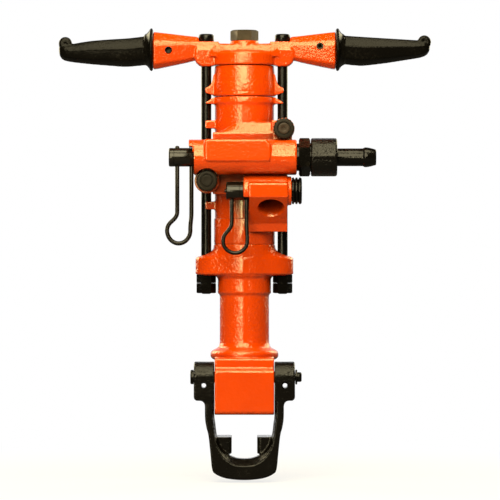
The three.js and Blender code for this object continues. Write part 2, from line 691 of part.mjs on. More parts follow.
const upperScrew = [screw.upperAcross, throttleZ + screw.upperRise];
const lowerScrew = [-screw.lowerAcross, throttleZ - screw.lowerDrop];

// Crest of the chest's shoulder, right to left: shares of its half width and of its rise.
const shoulderShares = [[1, 1], [0.11, 1], [-0.33, 0.8], [-0.59, 0.4], [-0.75, 0]];

// Front chest of the cylinder: flat in front, with a sloping shoulder that runs up to the right.
function chest() {
  const c = cylinder;
  const ringAt = (depth, rise) => {
    const top = ringTop + c.shoulderTop - c.shoulderStep;
    return [
      [-c.chestLeft, -depth, ringTop + c.chestBottom], [c.chestRight, -depth, ringTop + c.chestBottom],
      ...shoulderShares.map(([u, v]) => [u * (u > 0 ? c.chestRight : c.chestLeft), -depth, top + v * rise]),
      [-c.chestLeft, -depth, top - c.chestCorner * 2],
    ];
  };
  return skin([
    ringAt(c.lugBack + over, c.shoulderStep),
    ringAt(chestFront - c.shoulderRun, c.shoulderStep),
    ringAt(chestFront, 0),
  ]);
}

// The skirt under the exhaust port stands clear of the front ring.
const skirtBack = ring.radius + block.skirtOut;
const skirtFront = skirtBack + block.skirtWall;
const slopeFoot = skirtFront + block.slopeOut;

function exhaustBlock() {
  const b = block;
  const side = outline([
    [-b.backPlane, blowZ + b.topBack], [-b.front + b.crown, blowZ + b.topFront, b.corner],
    [-b.front, blowZ + b.faceTop, b.corner], [-b.front, blowZ - b.faceBottom, b.corner / 3],
    [-slopeFoot, blowZ - b.slopeEnd], [-skirtFront, blowZ - b.skirtEnd],
    [-skirtBack, blowZ - b.skirtEnd], [-skirtBack, ringTop + seat], [-b.backPlane, ringTop + seat],
  ]);
  const axis = (x) => [x, -valveDepth, blowZ];
  return join(slab('yz', side, b.left, b.right),
    bar(b.radius, axis(b.left), axis(b.right), { sides: facets.boss }),
    bar(b.flangeRadius, axis(b.right - over), axis(b.flangeRight), { sides: facets.boss }),
    bar(b.radius - b.corner / 6, axis(-b.collarLeft), axis(b.left + over), { sides: facets.boss }));
}

// Direction square to the sloping port face, pointing out of the block.
const slope = new THREE.Vector2(block.front - slopeFoot, block.slopeEnd - block.faceBottom);
const portNormal = new THREE.Vector3(0, -slope.y, -slope.x).normalize();
const portMiddle = point([
  block.portAcross,
  -block.front + (block.portDrop * slope.x) / slope.y,
  blowZ - block.faceBottom - block.portDrop,
]);

function cylinderBody() {
  const c = cylinder;
  const low = ringTop + seat;
  const barrel = lathe([
    [0, low], [c.radius - c.edge, low], [c.radius, low + c.edge], [c.radius, cylinderTop - c.edge],
    [c.radius - c.edge, cylinderTop], [0, cylinderTop],
  ], facets.drum);
  const lugs = bothSides((side) => join(
    guideLug(side, ringTop + c.nubLower, c.nubHeight, c.earReach, c.edge),
    guideLug(side, ringTop + c.nubUpper, c.nubHeight, c.earReach, c.edge),
    guideLug(side, ringTop + c.earUp, c.earThick / 2, c.earReach, c.edge * 2)));
  const screwLugs = [upperScrew, lowerScrew].map(([x, z]) => {
    const inner = Math.sign(x) * (c.radius - over);
    const web = outline([
      [inner, z - c.lugRadius], [x, z - c.lugRadius], [x, z + c.lugRadius], [inner, z + c.lugRadius],
    ]);
    return join(bar(c.lugRadius, [x, -c.lugBack, z], [x, -chestFront, z]),
      slab('xz', web, -c.lugBack, -chestFront));
  });
  const axis = (x) => [x, -valveDepth, blowZ];
  const deep = portMiddle.clone().addScaledVector(portNormal, -block.portDepth);
  const outer = portMiddle.clone().addScaledVector(portNormal, over);
  const bores = [
    drill(bore / 2, [0, 0, low - over], [0, 0, cylinderTop + over], facets.drum),
    ...[upperScrew, lowerScrew].map(([x, z]) => drill(screw.shank + seat,
      [x, -chestFront - over, z], [x, -screw.shankEnd + seat, z], facets.hole)),
    drill(blow.radius + run, axis(-block.collarLeft - over), axis(blow.neckStart), facets.boss),
    drill(blow.neck + run, axis(0), axis(block.right)),
    drill(blowPlug.thread + seat,
      axis(block.flangeRight - blowPlug.threadLength), axis(block.flangeRight + over)),
    slab('yz', sweepShape(blowZ, block.radius + over, blowWire.swing),
      -block.collarLeft - over, block.left),
    bar(block.portRadius, outer.toArray(), deep.toArray(), { sides: facets.boss }),
    bar(block.passage,
      [block.portAcross - block.passage, -valveDepth + block.passage, blowZ - block.portRadius],
      [block.passage, 0, blowZ - block.portRadius], { sides: facets.hole }),
    bar(body.port, [body.portAcross, -chestFront - over, throttleZ],
      [body.portAcross, -chestFront + body.port * 2, throttleZ], { sides: facets.bar }),
    bar(body.port * 0.7, [body.portAcross, -chestFront + body.port, throttleZ],
      [body.port, -bore / 3, chestBottom - body.port], { sides: facets.small }),
  ];
  return cut(join(barrel, chest(), exhaustBlock(), ...lugs, ...screwLugs), ...bores);
}

// Throttle valve body: a boss round the throttle axis with a flat pad in front.
function valveBody() {
  const b = body;
  const plane = -chestFront - seat;
  const axis = (x) => [x, -valveDepth, throttleZ];
  const boss = latheX([
    [0, -b.left], [b.radius - b.edge, -b.left], [b.radius, -b.left + b.edge], [b.radius, b.right - b.edge],
    [b.radius - b.edge, b.right], [0, b.right],
  ], -valveDepth, throttleZ, facets.drum);
  const lipTop = throttleZ + throttle.radius + seat;
  const lip = bar(b.radius, axis(-b.left - b.lip), axis(-b.left + over), { sides: facets.drum })
    .intersect(box([-b.left - b.lip - over, -valveDepth - b.radius - over, lipTop],
      [-b.left + over, plane, throttleZ + b.radius + over]));
  const pad = slab('xz', outline([
    [-b.padLeft, throttleZ - b.padBottom, b.padCorner], [b.padRight, throttleZ - b.padBottom, b.padCorner],
    [b.padRight, throttleZ + b.radius, b.padCut], [-b.padLeft, throttleZ + b.radius, b.padCorner],
  ]), -valveDepth, -b.padFront);
  const base = box([-b.baseLeft, -valveDepth, throttleZ - b.baseHalf],
    [b.baseRight, plane, throttleZ + b.baseHalf]);
  const [ux, uz] = upperScrew;
  const [lx, lz] = lowerScrew;
  const earFace = plane - b.earThick;
  const upperRadius = screw.head - seat;
  const ears = [
    bar(upperRadius, [ux, plane, uz], [ux, earFace, uz]),
    box([ux - upperRadius, earFace, throttleZ], [ux + upperRadius - over, plane, uz]),
    bar(b.earRadius, [lx, plane, lz], [lx, earFace, lz]),
  ];
  const front = -b.padFront - over;
  const reliefs = [upperScrew, lowerScrew].map(([x, z]) => (
    bar(screw.head + screw.relief, [x, earFace, z], [x, front, z], { sides: facets.boss })));
  const holes = [upperScrew, lowerScrew].map(([x, z]) => (
    drill(screw.shank + seat, [x, plane + over, z], [x, earFace - over, z], facets.hole)));
  const whole = cut(join(boss, pad, base, lip, ...ears), ...reliefs, ...holes,
    box([-b.left - over, plane, throttleZ - b.radius - over],
      [b.right + over, 0, throttleZ + b.radius + over]),
    drill(cylinder.radius + seat, [0, 0, ringTop], [0, 0, cylinderTop], facets.drum));
  return cut(whole,
    drill(throttle.radius + run, axis(-b.left - b.lip - over), axis(throttle.right + over), facets.boss),
    bar(inlet.bore, axis(throttle.right), axis(b.right), { sides: facets.bar }),
    drill(inlet.thread + seat, axis(b.right - inlet.threadLength - 2 * seat), axis(b.right + over)),
    bar(b.port, axis(b.portAcross), [b.portAcross, plane + over, throttleZ], { sides: facets.bar }),
    slab('yz', sweepShape(throttleZ, b.radius + over, throttleWire.swing),
      -b.left - over, -b.left + slotDepth));
}

// Cap screw with a serrated rim and a recess that holds a separate disc.
function capScrew([x, z]) {
  const s = screw;
  const back = -chestFront - 2 * seat - body.earThick;
  const front = back - s.headHeight;
  const rim = outline(circle(2 * s.teeth, (a) => a).map((a, i) => {
    const r = s.head - (i % 2) * s.toothDepth;
    return [x + r * Math.cos(a), z + r * Math.sin(a)];
  }));
  const bevel = bar(s.head, [x, back, z], [x, front, z], { sides: facets.boss, end: s.head - s.edge / 2 });
  const headBody = slab('xz', rim, back, front).intersect(bevel);
  const recess = bar(s.recess, [x, front + s.recessDepth, z], [x, front - over, z]);
  const shank = bar(s.shank, [x, back - seat, z], [x, -s.shankEnd, z], { sides: facets.hole });
  return join(cut(headBody, recess), shank);
}

function screwDisc([x, z], hole) {
  const s = screw;
  const floor = -chestFront - 2 * seat - body.earThick - s.headHeight + s.recessDepth - seat;
  const disc = bar(s.disc, [x, floor, z], [x, floor - s.discHeight, z], { sides: facets.bar });
  if (!hole) return disc;
  return cut(disc, bar(s.discHole, [x, floor - s.discHeight / 2, z],
    [x, floor - s.discHeight - over, z], { sides: facets.small }));
}

// A rotary spindle with two cross holes for the legs of its lever.
function spindle(profile, z, wireSpec) {
  const shaft = latheX(profile, -valveDepth, z, facets.boss);
  const long = body.radius + over;
  const holes = [wireSpec.left, wireSpec.right].map((x) => drill(wireSpec.radius + wireSpec.slack,
    [x, -valveDepth, z - long], [x, -valveDepth, z + long], facets.small));
  return cut(shaft, ...holes);
}

function throttleValve() {
  const t = throttle;
  const shaft = spindle([
    [0, -t.left], [t.radius - t.edge, -t.left], [t.radius, -t.left + t.edge],
    [t.radius, t.right], [0, t.right],
  ], throttleZ, throttleWire);
  return cut(shaft,
    bar(t.bore, [t.boreLeft, -valveDepth, throttleZ],
      [t.right + over, -valveDepth, throttleZ], { sides: facets.bar }),
    bar(t.window, [body.portAcross, -valveDepth, throttleZ],
      [body.portAcross, -valveDepth + t.radius + over, throttleZ], { sides: facets.hole }));
}

function blowValve() {
  const b = blow;
  return spindle([
    [0, -b.left - b.nib], [b.nib, -b.left - b.nib], [b.nib, -b.left], [b.radius - throttle.edge, -b.left],
    [b.radius, -b.left + throttle.edge], [b.radius, b.neckStart - seat], [b.neck, b.neckStart - seat],
    [b.neck, b.right], [0, b.right],
  ], blowZ, blowWire);
}

// Lever bent from one wire: two legs through the spindle and a loop below them.
function lever(spec, z) {
  const at = (x, drop) => point([x, -valveDepth, z - drop]);
  const { left, right, loop } = spec;
  const middle = (loop.left + loop.right) / 2;
  const arcShare = 0.5523; // reach of a quarter circle's control point
  const across = (loop.right - loop.left) / 2;
  const tall = loop.bottom - loop.drop;
  const pieces = [
    new THREE.LineCurve3(at(left, -spec.nib), at(left, spec.straight)),
    new THREE.CubicBezierCurve3(at(left, spec.straight), at(left, spec.straight + loop.bend),
      at(loop.left, loop.drop - loop.bend), at(loop.left, loop.drop)),
    new THREE.CubicBezierCurve3(at(loop.left, loop.drop), at(loop.left, loop.drop + arcShare * tall),
      at(middle - arcShare * across, loop.bottom), at(middle, loop.bottom)),
    new THREE.CubicBezierCurve3(at(middle, loop.bottom), at(middle + arcShare * across, loop.bottom),
      at(loop.right, loop.drop + arcShare * tall), at(loop.right, loop.drop)),
    new THREE.CubicBezierCurve3(at(loop.right, loop.drop), at(loop.right, loop.drop - loop.bend),
      at(right, spec.straight + loop.bend), at(right, spec.straight)),
    new THREE.LineCurve3(at(right, spec.straight), at(right, -spec.tail)),
  ];
  return wire(spec.radius, pieces, spec.steps);
}

// Ribbed plug that closes the right end of the blow valve bore.
function blowPlugBody() {
  const p = blowPlug;
  const start = block.flangeRight + seat;
  const end = start + p.length;
  const waist = p.radius - p.rib;
  const threadEnd = start - p.threadLength + seat;
  const profile = [[0, threadEnd], [p.thread, threadEnd], [p.thread, start]];
  const pitch = (end - start) / (p.ribs + 1);
  for (let i = 0; i <= p.ribs; i += 1) {
    const x = start + i * pitch;
    profile.push([waist, x], [p.radius, x + pitch / 4], [p.radius, x + (3 * pitch) / 4]);
  }
  profile.push([waist, end], [0, end]);
  return latheX(profile, -valveDepth, blowZ, facets.round);
}

// Air inlet: hexagon nipple in the valve body, sleeve over it and the hose stem that swivels.
function inletNut() {
  const n = inlet;
  const start = body.right - n.threadLength;
  const corner = n.flats / Math.sqrt(3);
  const hex = bar(corner, [n.hexLeft, -valveDepth, throttleZ],
    [n.hexRight, -valveDepth, throttleZ], { sides: 6, turn: Math.PI / 6 });
  const chamfer = latheX([
    [0, n.hexLeft], [corner - n.edge, n.hexLeft], [corner, n.hexLeft + n.edge],
    [corner, n.hexRight - n.edge], [corner - n.edge, n.hexRight], [0, n.hexRight],
  ], -valveDepth, throttleZ, facets.round);
  const shank = latheX([
    [0, start], [n.thread, start], [n.thread, body.right + seat], [n.neck, body.right + seat],
    [n.neck, n.hexLeft + seat], [n.spigot, n.hexLeft + seat], [n.spigot, n.spigotEnd], [0, n.spigotEnd],
  ], -valveDepth, throttleZ, facets.round);
  const airway = bar(n.bore, [start - over, -valveDepth, throttleZ],
    [n.spigotEnd + over, -valveDepth, throttleZ], { sides: facets.bar });
  return cut(join(hex.intersect(chamfer), shank), airway);
}

function swivelSleeve() {
  const s = sleeve;
  const floor = s.right - s.wall;
  const inside = clearOf(Math.max(stem.flange, inlet.spigot) + run, facets.boss);
  const neck = clearOf(stem.radius + run, facets.boss);
  return latheX([
    [inside, s.left], [s.radius - s.edge, s.left], [s.radius, s.left + s.edge],
    [s.radius, s.right - s.edge], [s.radius - s.edge, s.right], [neck, s.right],
    [neck, floor], [inside, floor],
  ], -valveDepth, throttleZ, facets.boss);
}

function hoseStem() {
  const s = stem;
  const step = s.step;
  return latheX([
    [s.bore, s.flangeLeft], [s.flange, s.flangeLeft], [s.flange, s.flangeLeft + s.flangeWidth],
    [s.radius, s.flangeLeft + s.flangeWidth], [s.radius, s.barbAt - step * 2], [s.barb, s.barbAt],
    [s.barb, s.barbAt + step * 5], [s.tip, s.end - step], [s.tip - step, s.end], [s.bore, s.end],
  ], -valveDepth, throttleZ, facets.round);
}

// Front bushing ring, which guides the nose of the piston.
function frontRing() {
  const low = headTop + seat;
  const hole = clearOf(piston.noseRadius + run, facets.drum);
  return lathe([
    [hole, low], [ring.radius - ring.edge, low], [ring.radius, low + ring.edge],
    [ring.radius, ringTop - ring.edge], [ring.radius - ring.edge, ringTop], [hole, ringTop],
  ], facets.drum);
}

// Side rods with their nuts.
function sideRod() {
  const low = head.lugBottom - 3 * seat - nut.height - nut.lockHeight - rodTail;
  const seatAt = rodSeat + seat;
  const top = seatAt + rodHead.height;
  return lathe([
    [0, low], [rodRadius - rodHead.edge, low], [rodRadius, low + rodHead.edge], [rodRadius, seatAt],
    [rodHead.radius, seatAt], [rodHead.radius, top - rodHead.edge],
    [rodHead.radius - rodHead.edge, top], [0, top],
  ], facets.bar);
}

function rodNut(top, height, edge) {
  const low = top - height;
  const at = (z) => [0, 0, z];
  const hex = bar(nut.radius, at(low), at(top), { sides: 6, turn: Math.PI / 2 });
  const chamfer = lathe([
    [0, low], [nut.radius - edge, low], [nut.radius + seat, low + edge], [nut.radius + seat, top], [0, top],
  ], facets.bar);
  return cut(hex.intersect(chamfer), drill(rodRadius + seat, at(low - over), at(top + over), facets.bar));
}

// Backhead: a drum with two lugs, a web to the plug boss and two tapering handle arms.
const spigotFloor = carrierTop + seat;
const washerTop = spigotFloor + ratchet.washer;

function backheadBody() {
  const b = backhead;
  const low = ratchetTop + seat;
  const edge = cylinder.edge;
  const drum = skin([
    lobedRing(low, b.radius - edge, b.reach, b.lobes),
    lobedRing(low + edge, b.radius, b.reach, b.lobes),
    lobedRing(ratchetTop + b.wall, b.radius, b.reach, b.lobes),
    lobedRing(ratchetTop + (b.wall + b.shoulder) / 2, b.radius - edge * 2, b.reach, b.lobes),
    lobedRing(ratchetTop + b.shoulder, b.webRadius + edge * 5, b.reach + edge * 4, b.lobes),
    lobedRing(ratchetTop + b.web, b.webRadius, b.reach + edge * 5, b.lobes),
    lobedRing(ratchetTop + b.web + edge / 4, b.boss + edge * 2, 0, b.lobes),
    lobedRing(backheadTop, b.boss, 0, b.lobes),
  ]);
  const spigot = lathe([
    [0, washerTop + seat], [ratchet.tip + seat, washerTop + seat], [ratchet.tip + seat, spigotFloor],
    [ratchet.bore / 2 - seat, spigotFloor], [ratchet.bore / 2 - seat, low + over], [0, low + over],
  ], facets.round);
  const arms = bothSides((side) => join(
    latheX([
      [0, side * b.armInner], [b.armSmall, side * b.armInner], [b.armWaist, side * b.armWaistAt],
      [b.armHip, side * b.armHipAt], [b.armLarge, side * (b.armOuter - b.armLip)],
      [b.armLarge - b.armLip / 2, side * b.armOuter], [0, side * b.armOuter],
    ], 0, armZ, facets.boss),
    bar(b.seatRadius, [side * rodOffset, 0, low], [side * rodOffset, 0, rodSeat])));
  const cuts = bothSides((side) => {
    const overRod = (z) => [side * rodOffset, 0, z];
    const along = (x) => [side * x, 0, armZ];
    return join(
      drill(rodHole, overRod(low - over), overRod(rodSeat + over), facets.bar),
      bar(b.pocket, overRod(rodSeat), overRod(backheadTop + b.armLarge)),
      drill(core.radius + seat, along(b.armOuter - b.socketDepth), along(b.armOuter + over)),
      pinHole(side));
  });
  return cut(join(drum, spigot, ...arms), ...cuts,
    drill(plug.threadRadius + seat, [0, 0, tube.headBottom + tube.headHeight], [0, 0, backheadTop + over]),
    drill(tube.headRadius + seat, [0, 0, tube.headBottom - seat], [0, 0, backheadTop], facets.bar),
    drill(tube.radius + run, [0, 0, spigotFloor], [0, 0, backheadTop], facets.hole));
}

function pinPlace(side) {
  return side < 0 ? [-pin.leftAcross, armZ + pin.leftRise] : [pin.rightAcross, armZ + pin.rightRise];
}

function pinHole(side) {
  const [x, z] = pinPlace(side);
  return drill(pin.radius + seat,
    [x, -backhead.armLarge - over, z], [x, backhead.armLarge + over, z], facets.hole);
}

function handlePin(side) {
  const [x, z] = pinPlace(side);
  const front = side < 0 ? pin.leftFront : pin.rightFront;
  return cut(bar(pin.radius, [x, -front, z], [x, pin.back, z], { sides: facets.hole }),
    bar(pin.bore, [x, -front - over, z], [x, pin.back + over, z], { sides: facets.small }));
}

function handleCore(side) {
  const start = backhead.armOuter - backhead.socketDepth + seat;
  const at = (x) => [side * x, 0, armZ];
  return cut(bar(core.radius, at(start), at(start + core.length), { sides: facets.bar }),
    bar(core.bore, at(start - over), at(start + core.length + over), { sides: facets.hole }),
    pinHole(side));
}

// Rubber grip: flange, palm swell and a hook at the end, as shares of its length and width.
const gripShares = [
  [0.03, 0.55, -0.55, 0.54], [0.07, 0.52, -0.52, 0.51], [0.13, 0.52, -0.51, 0.5],
  [0.26, 0.49, -0.585, 0.52], [0.39, 0.455, -0.555, 0.5], [0.54, 0.41, -0.485, 0.46],
  [0.69, 0.375, -0.44, 0.41], [0.82, 0.33, -0.37, 0.37], [0.91, 0.33, -0.31, 0.33],
  [0.96, 0.29, -0.22, 0.28], [0.99, 0.18, -0.08, 0.16],
];

function gripBody(side) {
  const g = grip;
  const handle = skin(gripShares.map(([along, top, bottom, half]) => circle(facets.bar, (a) => [
    side * (g.start + along * g.length),
    half * g.width * Math.cos(a),
    armZ + (((top + bottom) / 2) + ((top - bottom) / 2) * Math.sin(a)) * g.width,
  ])));
  const flange = latheX([
    [0, side * g.start], [g.flangeEdge, side * g.start], [g.flange, side * (g.start + g.flangeWidth / 5)],
    [g.flange * 0.93, side * (g.start + g.flangeWidth * 0.6)],
    [g.width * 0.53, side * (g.start + g.flangeWidth)],
    [0, side * (g.start + g.flangeWidth)],
  ], 0, armZ, facets.boss);
  const knob = new THREE.SphereGeometry(1, facets.hole, facets.small);
  knob.scale(g.hook * 0.85, g.hookWidth / 2, g.hook * 0.8);
  knob.translate(side * (g.start + g.hookAcross), 0, armZ + g.hookRise);
  const coreEnd = backhead.armOuter - backhead.socketDepth + 2 * seat + core.length;
  const hole = bar(core.radius + seat, [side * (g.start - over), 0, armZ],
    [side * coreEnd, 0, armZ], { sides: facets.bar });
  return cut(join(handle, flange, solid(knob)), hole);
}

// Retainer yoke: two hubs on the bolt, arms that close into a U in front of the steel and a
// fork that reaches back under the collar of the steel. Shares of its half width and drop.
const yokeOuterShares = [
  [1, 0.3], [1, -0.03], [0.965, -0.187], [0.91, -0.324], [0.86, -0.6], [0.82, -0.826], [0.74, -0.905],
  [0.46, -0.975], [0, -1],
];
const yokeInnerShares = [
  [0.765, 0.3], [0.765, -0.02], [0.745, -0.12], [0.7, -0.324], [0.61, -0.48], [0.44, -0.6],
  [0.22, -0.665], [0, -0.679],
];

function yokeHalf(shares, grow = 0) {
  const across = yoke.halfWidth + grow / 3;
  return shares.map(([u, v]) => [u * across, v * (yoke.drop + (v < 0 ? 1.5 * grow : 0))]);
}

function mirrored(half) {
  const left = half.slice(0, -1).reverse().map(([u, v]) => [-u, v]);
  return [...half, ...left];
}

function retainer() {
  const y = yoke;
  const inner = mirrored(yokeHalf(yokeInnerShares));
  const flared = mirrored(yokeHalf(yokeInnerShares, y.lip));
  const outer = mirrored(yokeHalf(yokeOuterShares));
  const inside = (points, i) => i > 0 && i < points.length - 1;
  const smooth = (points) => points.map(([u, v], i) => [u, v, inside(points, i) ? y.hubCorner : 0]);
  const top = y.drop / 2;
  const plate = slab('xz', outline(smooth(outer)), -y.armFront, -y.armBack);
  const throat = slab('xz', outline([...smooth(inner), [-inner[0][0], top], [inner[0][0], top]]),
    -y.armFront - over, -y.armBack + over);
  const ringAt = (points, depth) => points.map(([u, v]) => [u, -depth, v]);
  const mouth = skin([
    ringAt(inner, y.armFront - y.lipDepth), ringAt(flared, y.armFront), ringAt(flared, y.armFront + over),
  ]);
  const parts = bothSides((side) => {
    const hub = bar(y.hubRadius, [side * y.hubInner, -bolt.depth, bolt.height],
      [side * y.hubOuter, -bolt.depth, bolt.height], { sides: facets.boss });
    const ear = slab('xz', outline([
      [side * y.hubInner, y.hubBottom], [side * y.hubOuter, y.hubBottom, y.hubCorner],
      [side * y.hubOuter, bolt.height], [side * y.hubInner, bolt.height],
    ]), -y.armFront - y.hubCorner / 4, -y.armBack + y.hubCorner / 2);
    const prong = slab('xy', outline([
      [side * y.slotHalf, -y.armFront + y.lipDepth, y.hubCorner + 1.5 * seat],
      [side * y.slotHalf, y.prongBack, y.hubCorner], [side * y.hubInner, y.prongBack, 2 * y.hubCorner],
      [side * y.hubInner, -y.armFront + y.lipDepth],
    ]), -y.prongBottom, -y.prongTop);
    return join(hub, ear, prong);
  });
  const holes = bothSides((side) => join(
    bar(y.holeRadius, [side * y.holeAcross, -y.armFront - 2 * y.hubCorner, y.holeHeight],
      [side * y.holeAcross, y.prongBack, y.holeHeight], { sides: facets.hole }),
    bar(y.holeRing, [side * y.holeAcross, -y.armFront - 2 * y.hubCorner, y.holeHeight],
      [side * y.holeAcross, -y.armFront + seat, y.holeHeight], { sides: facets.bar })));
  const frame = cut(plate, throat, mouth);
  return cut(join(frame, ...parts), ...holes,
    drill(bolt.radius + run, [-y.hubOuter - over, -bolt.depth, bolt.height],
      [y.hubOuter + over, -bolt.depth, bolt.height]));
}

function retainerBolt() {
  const b = bolt;
  const grooveAt = yoke.hubOuter + b.grooveReach + seat;
  const headStart = -yoke.hubOuter - seat;
  const left = -yoke.hubOuter - b.headReach;
  const right = yoke.hubOuter + b.tailReach;
  return latheX([
    [0, left], [b.headRadius + b.grooveDepth, left], [b.headRadius + b.grooveDepth, headStart],
    [b.radius, headStart], [b.radius, yoke.hubOuter + seat], [b.stub - b.grooveDepth, yoke.hubOuter + seat],
    [b.stub - b.grooveDepth, grooveAt + b.ringWidth], [b.stub, grooveAt + b.ringWidth],
    [b.stub, right - b.tipWidth / 3], [b.stub - b.grooveDepth / 3, right], [0, right],
  ], -b.depth, b.height, facets.round);
}

function snapRing() {
  const b = bolt;
  const at = (x) => [x, -b.depth, b.height];
  const start = yoke.hubOuter + 2 * seat;
  const end = yoke.hubOuter + b.grooveReach + b.ringWidth;
  const whole = cut(bar(b.ringRadius, at(start), at(end), { sides: facets.bar }),
    drill(b.stub - b.grooveDepth + seat, at(start - over), at(end + over), facets.hole));
  return cut(whole, box([start - over, -b.depth - b.grooveDepth, b.height - 2 * b.ringRadius],
    [end + over, -b.depth + b.grooveDepth, b.height]));
}

// The hexagon plug that closes the backhead over the blow tube.
function backheadPlug() {
  const low = tube.headBottom + tube.headHeight + seat;
  const base = backheadTop + seat;
  const top = base + plug.height;
  const corner = plug.flats / Math.sqrt(3);
  const hex = bar(corner, [0, 0, base], [0, 0, top], { sides: 6, turn: Math.PI / 2 });
  const chamfer = lathe([
    [0, base], [corner, base], [corner, top - plug.edge], [corner - plug.edge * 1.5, top], [0, top],
  ], facets.round);
  return join(hex.intersect(chamfer), bar(plug.threadRadius, [0, 0, low], [0, 0, base + over]));
}

function blowTube() {
  const t = tube;
  return lathe([
    [t.bore, t.bottom], [t.radius, t.bottom], [t.radius, t.headBottom], [t.headRadius, t.headBottom],
    [t.headRadius, t.headBottom + t.headHeight - seat], [t.bore, t.headBottom + t.headHeight - seat],
  ], facets.hole);
}

function tubeRing(outer, inner, low, high) {
  return lathe([[inner, low], [outer, low], [outer, high], [inner, high]], facets.round);
}

part('front_head', frontHead(), orange);
const bushHole = clearOf(chuck.radius + run, facets.round);
part('front_head_bush', tubeRing(headBush.radius, bushHole, headBush.bottom, headBush.top), bronze);
part('chuck', chuckBody(), steel);
part('chuck_bushing', chuckBushing(), steel);
part('chuck_driver', chuckDriver(), steel);
part('front_ring', frontRing(), orange);
part('cylinder', cylinderBody(), orange);
part('piston', pistonBody(), steel);
part('rifle_nut', rifleNut(), bronze);
part('rifle_bar', rifleBar(), steel);
circle(pawl.count, (a) => a).forEach((a, i) => part(`pawl_${i + 1}`, pawlBody(a), steel));
part('ratchet_ring', ratchetRing(), steel);
part('thrust_washer', tubeRing(ratchet.carrier, rifle.shoulder, carrierTop + seat, washerTop), bronze);
part('ratchet_housing', ratchetHousing(), orange);
part('valve_chest', valveChest(), steel);
part('valve_cover', valveCover(), steel);
part('automatic_valve', automaticValve(), steel);
part('backhead', backheadBody(), orange);
part('backhead_plug', backheadPlug(), darkSteel);
part('blow_tube', blowTube(), steel);
part('valve_body', valveBody(), orange);
part('valve_body_screw_upper', capScrew(upperScrew), darkSteel);
part('valve_body_screw_lower', capScrew(lowerScrew), darkSteel);
part('screw_disc_upper', screwDisc(upperScrew, true), bronze);
part('screw_disc_lower', screwDisc(lowerScrew, false), darkSteel);
part('throttle_valve', throttleValve(), black);
part('throttle_lever', lever(throttleWire, throttleZ), darkSteel);
part('blow_valve', blowValve(), black);
part('blow_lever', lever(blowWire, blowZ), darkSteel);
part('blow_valve_plug', blowPlugBody(), black);
part('inlet_nut', inletNut(), black);
part('swivel_sleeve', swivelSleeve(), black);
part('hose_stem', hoseStem(), black);
part('retainer', retainer(), black);
part('retainer_bolt', retainerBolt(), black);
part('retainer_snap_ring', snapRing(), black);

const nutTop = head.lugBottom - seat;
for (const side of [-1, 1]) {
  const name = sideName(side);
  const place = [side * rodOffset, 0, 0];
  part(`side_rod_${name}`, sideRod(), black, place);
  part(`side_rod_nut_${name}`, rodNut(nutTop, nut.height, nut.edge), black, place);
  const lockNut = rodNut(nutTop - nut.height - seat, nut.lockHeight, nut.lockEdge);
  part(`side_rod_lock_nut_${name}`, lockNut, black, place);
  part(`handle_core_${name}`, handleCore(side), steel);
  part(`handle_pin_${name}`, handlePin(side), darkSteel);
  part(`grip_${name}`, gripBody(side), rubber);
}

export default group;
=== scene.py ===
import math

import bmesh
import bpy
from mathutils import Matrix, Vector


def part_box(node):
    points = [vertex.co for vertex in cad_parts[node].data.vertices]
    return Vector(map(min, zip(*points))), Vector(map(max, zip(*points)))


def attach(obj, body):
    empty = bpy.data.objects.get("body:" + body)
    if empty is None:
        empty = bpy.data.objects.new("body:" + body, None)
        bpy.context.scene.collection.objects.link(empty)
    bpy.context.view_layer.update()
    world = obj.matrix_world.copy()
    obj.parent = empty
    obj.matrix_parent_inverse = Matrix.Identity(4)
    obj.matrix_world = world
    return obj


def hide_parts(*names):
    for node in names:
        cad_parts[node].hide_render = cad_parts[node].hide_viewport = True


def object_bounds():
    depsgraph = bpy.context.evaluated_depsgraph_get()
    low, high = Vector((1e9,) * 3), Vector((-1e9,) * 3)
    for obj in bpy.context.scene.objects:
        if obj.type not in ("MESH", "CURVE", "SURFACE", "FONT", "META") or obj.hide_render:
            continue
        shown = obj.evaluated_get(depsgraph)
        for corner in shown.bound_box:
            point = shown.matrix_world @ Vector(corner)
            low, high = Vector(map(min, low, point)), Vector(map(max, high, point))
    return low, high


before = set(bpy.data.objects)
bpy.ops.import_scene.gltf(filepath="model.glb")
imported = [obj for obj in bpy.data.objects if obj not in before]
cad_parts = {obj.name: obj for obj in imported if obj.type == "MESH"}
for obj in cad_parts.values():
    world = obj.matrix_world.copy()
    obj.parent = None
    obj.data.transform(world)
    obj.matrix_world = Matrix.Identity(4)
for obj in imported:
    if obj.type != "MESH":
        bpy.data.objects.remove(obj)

MM = 0.001  # sizes below are in millimetres
cad_low, cad_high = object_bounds()

# The studio. The camera stands far off on a long lens, square to the front of the drill and
# level with its middle, as in the photograph, on a plain pale floor with a white backdrop.
PICTURE_WIDTH = 700  # millimetres of the drill's own plane that the picture takes in
AIM = Vector((7.8, 0, 228.2))
FAR = 5200


def added(name, data):
    """A new object in the scene."""
    made = bpy.data.objects.new(name, data)
    bpy.context.scene.collection.objects.link(made)
    return made


camera = added("camera", bpy.data.cameras.new("camera"))
camera.data.sensor_width = 36
camera.data.lens = camera.data.sensor_width * FAR / PICTURE_WIDTH
camera.data.clip_end = 50
camera.location = (AIM + Vector((0, -FAR, 0))) * MM
camera.rotation_euler = (math.radians(90), 0, 0)
bpy.context.scene.camera = camera
bpy.context.scene.view_settings.view_transform = "Standard"


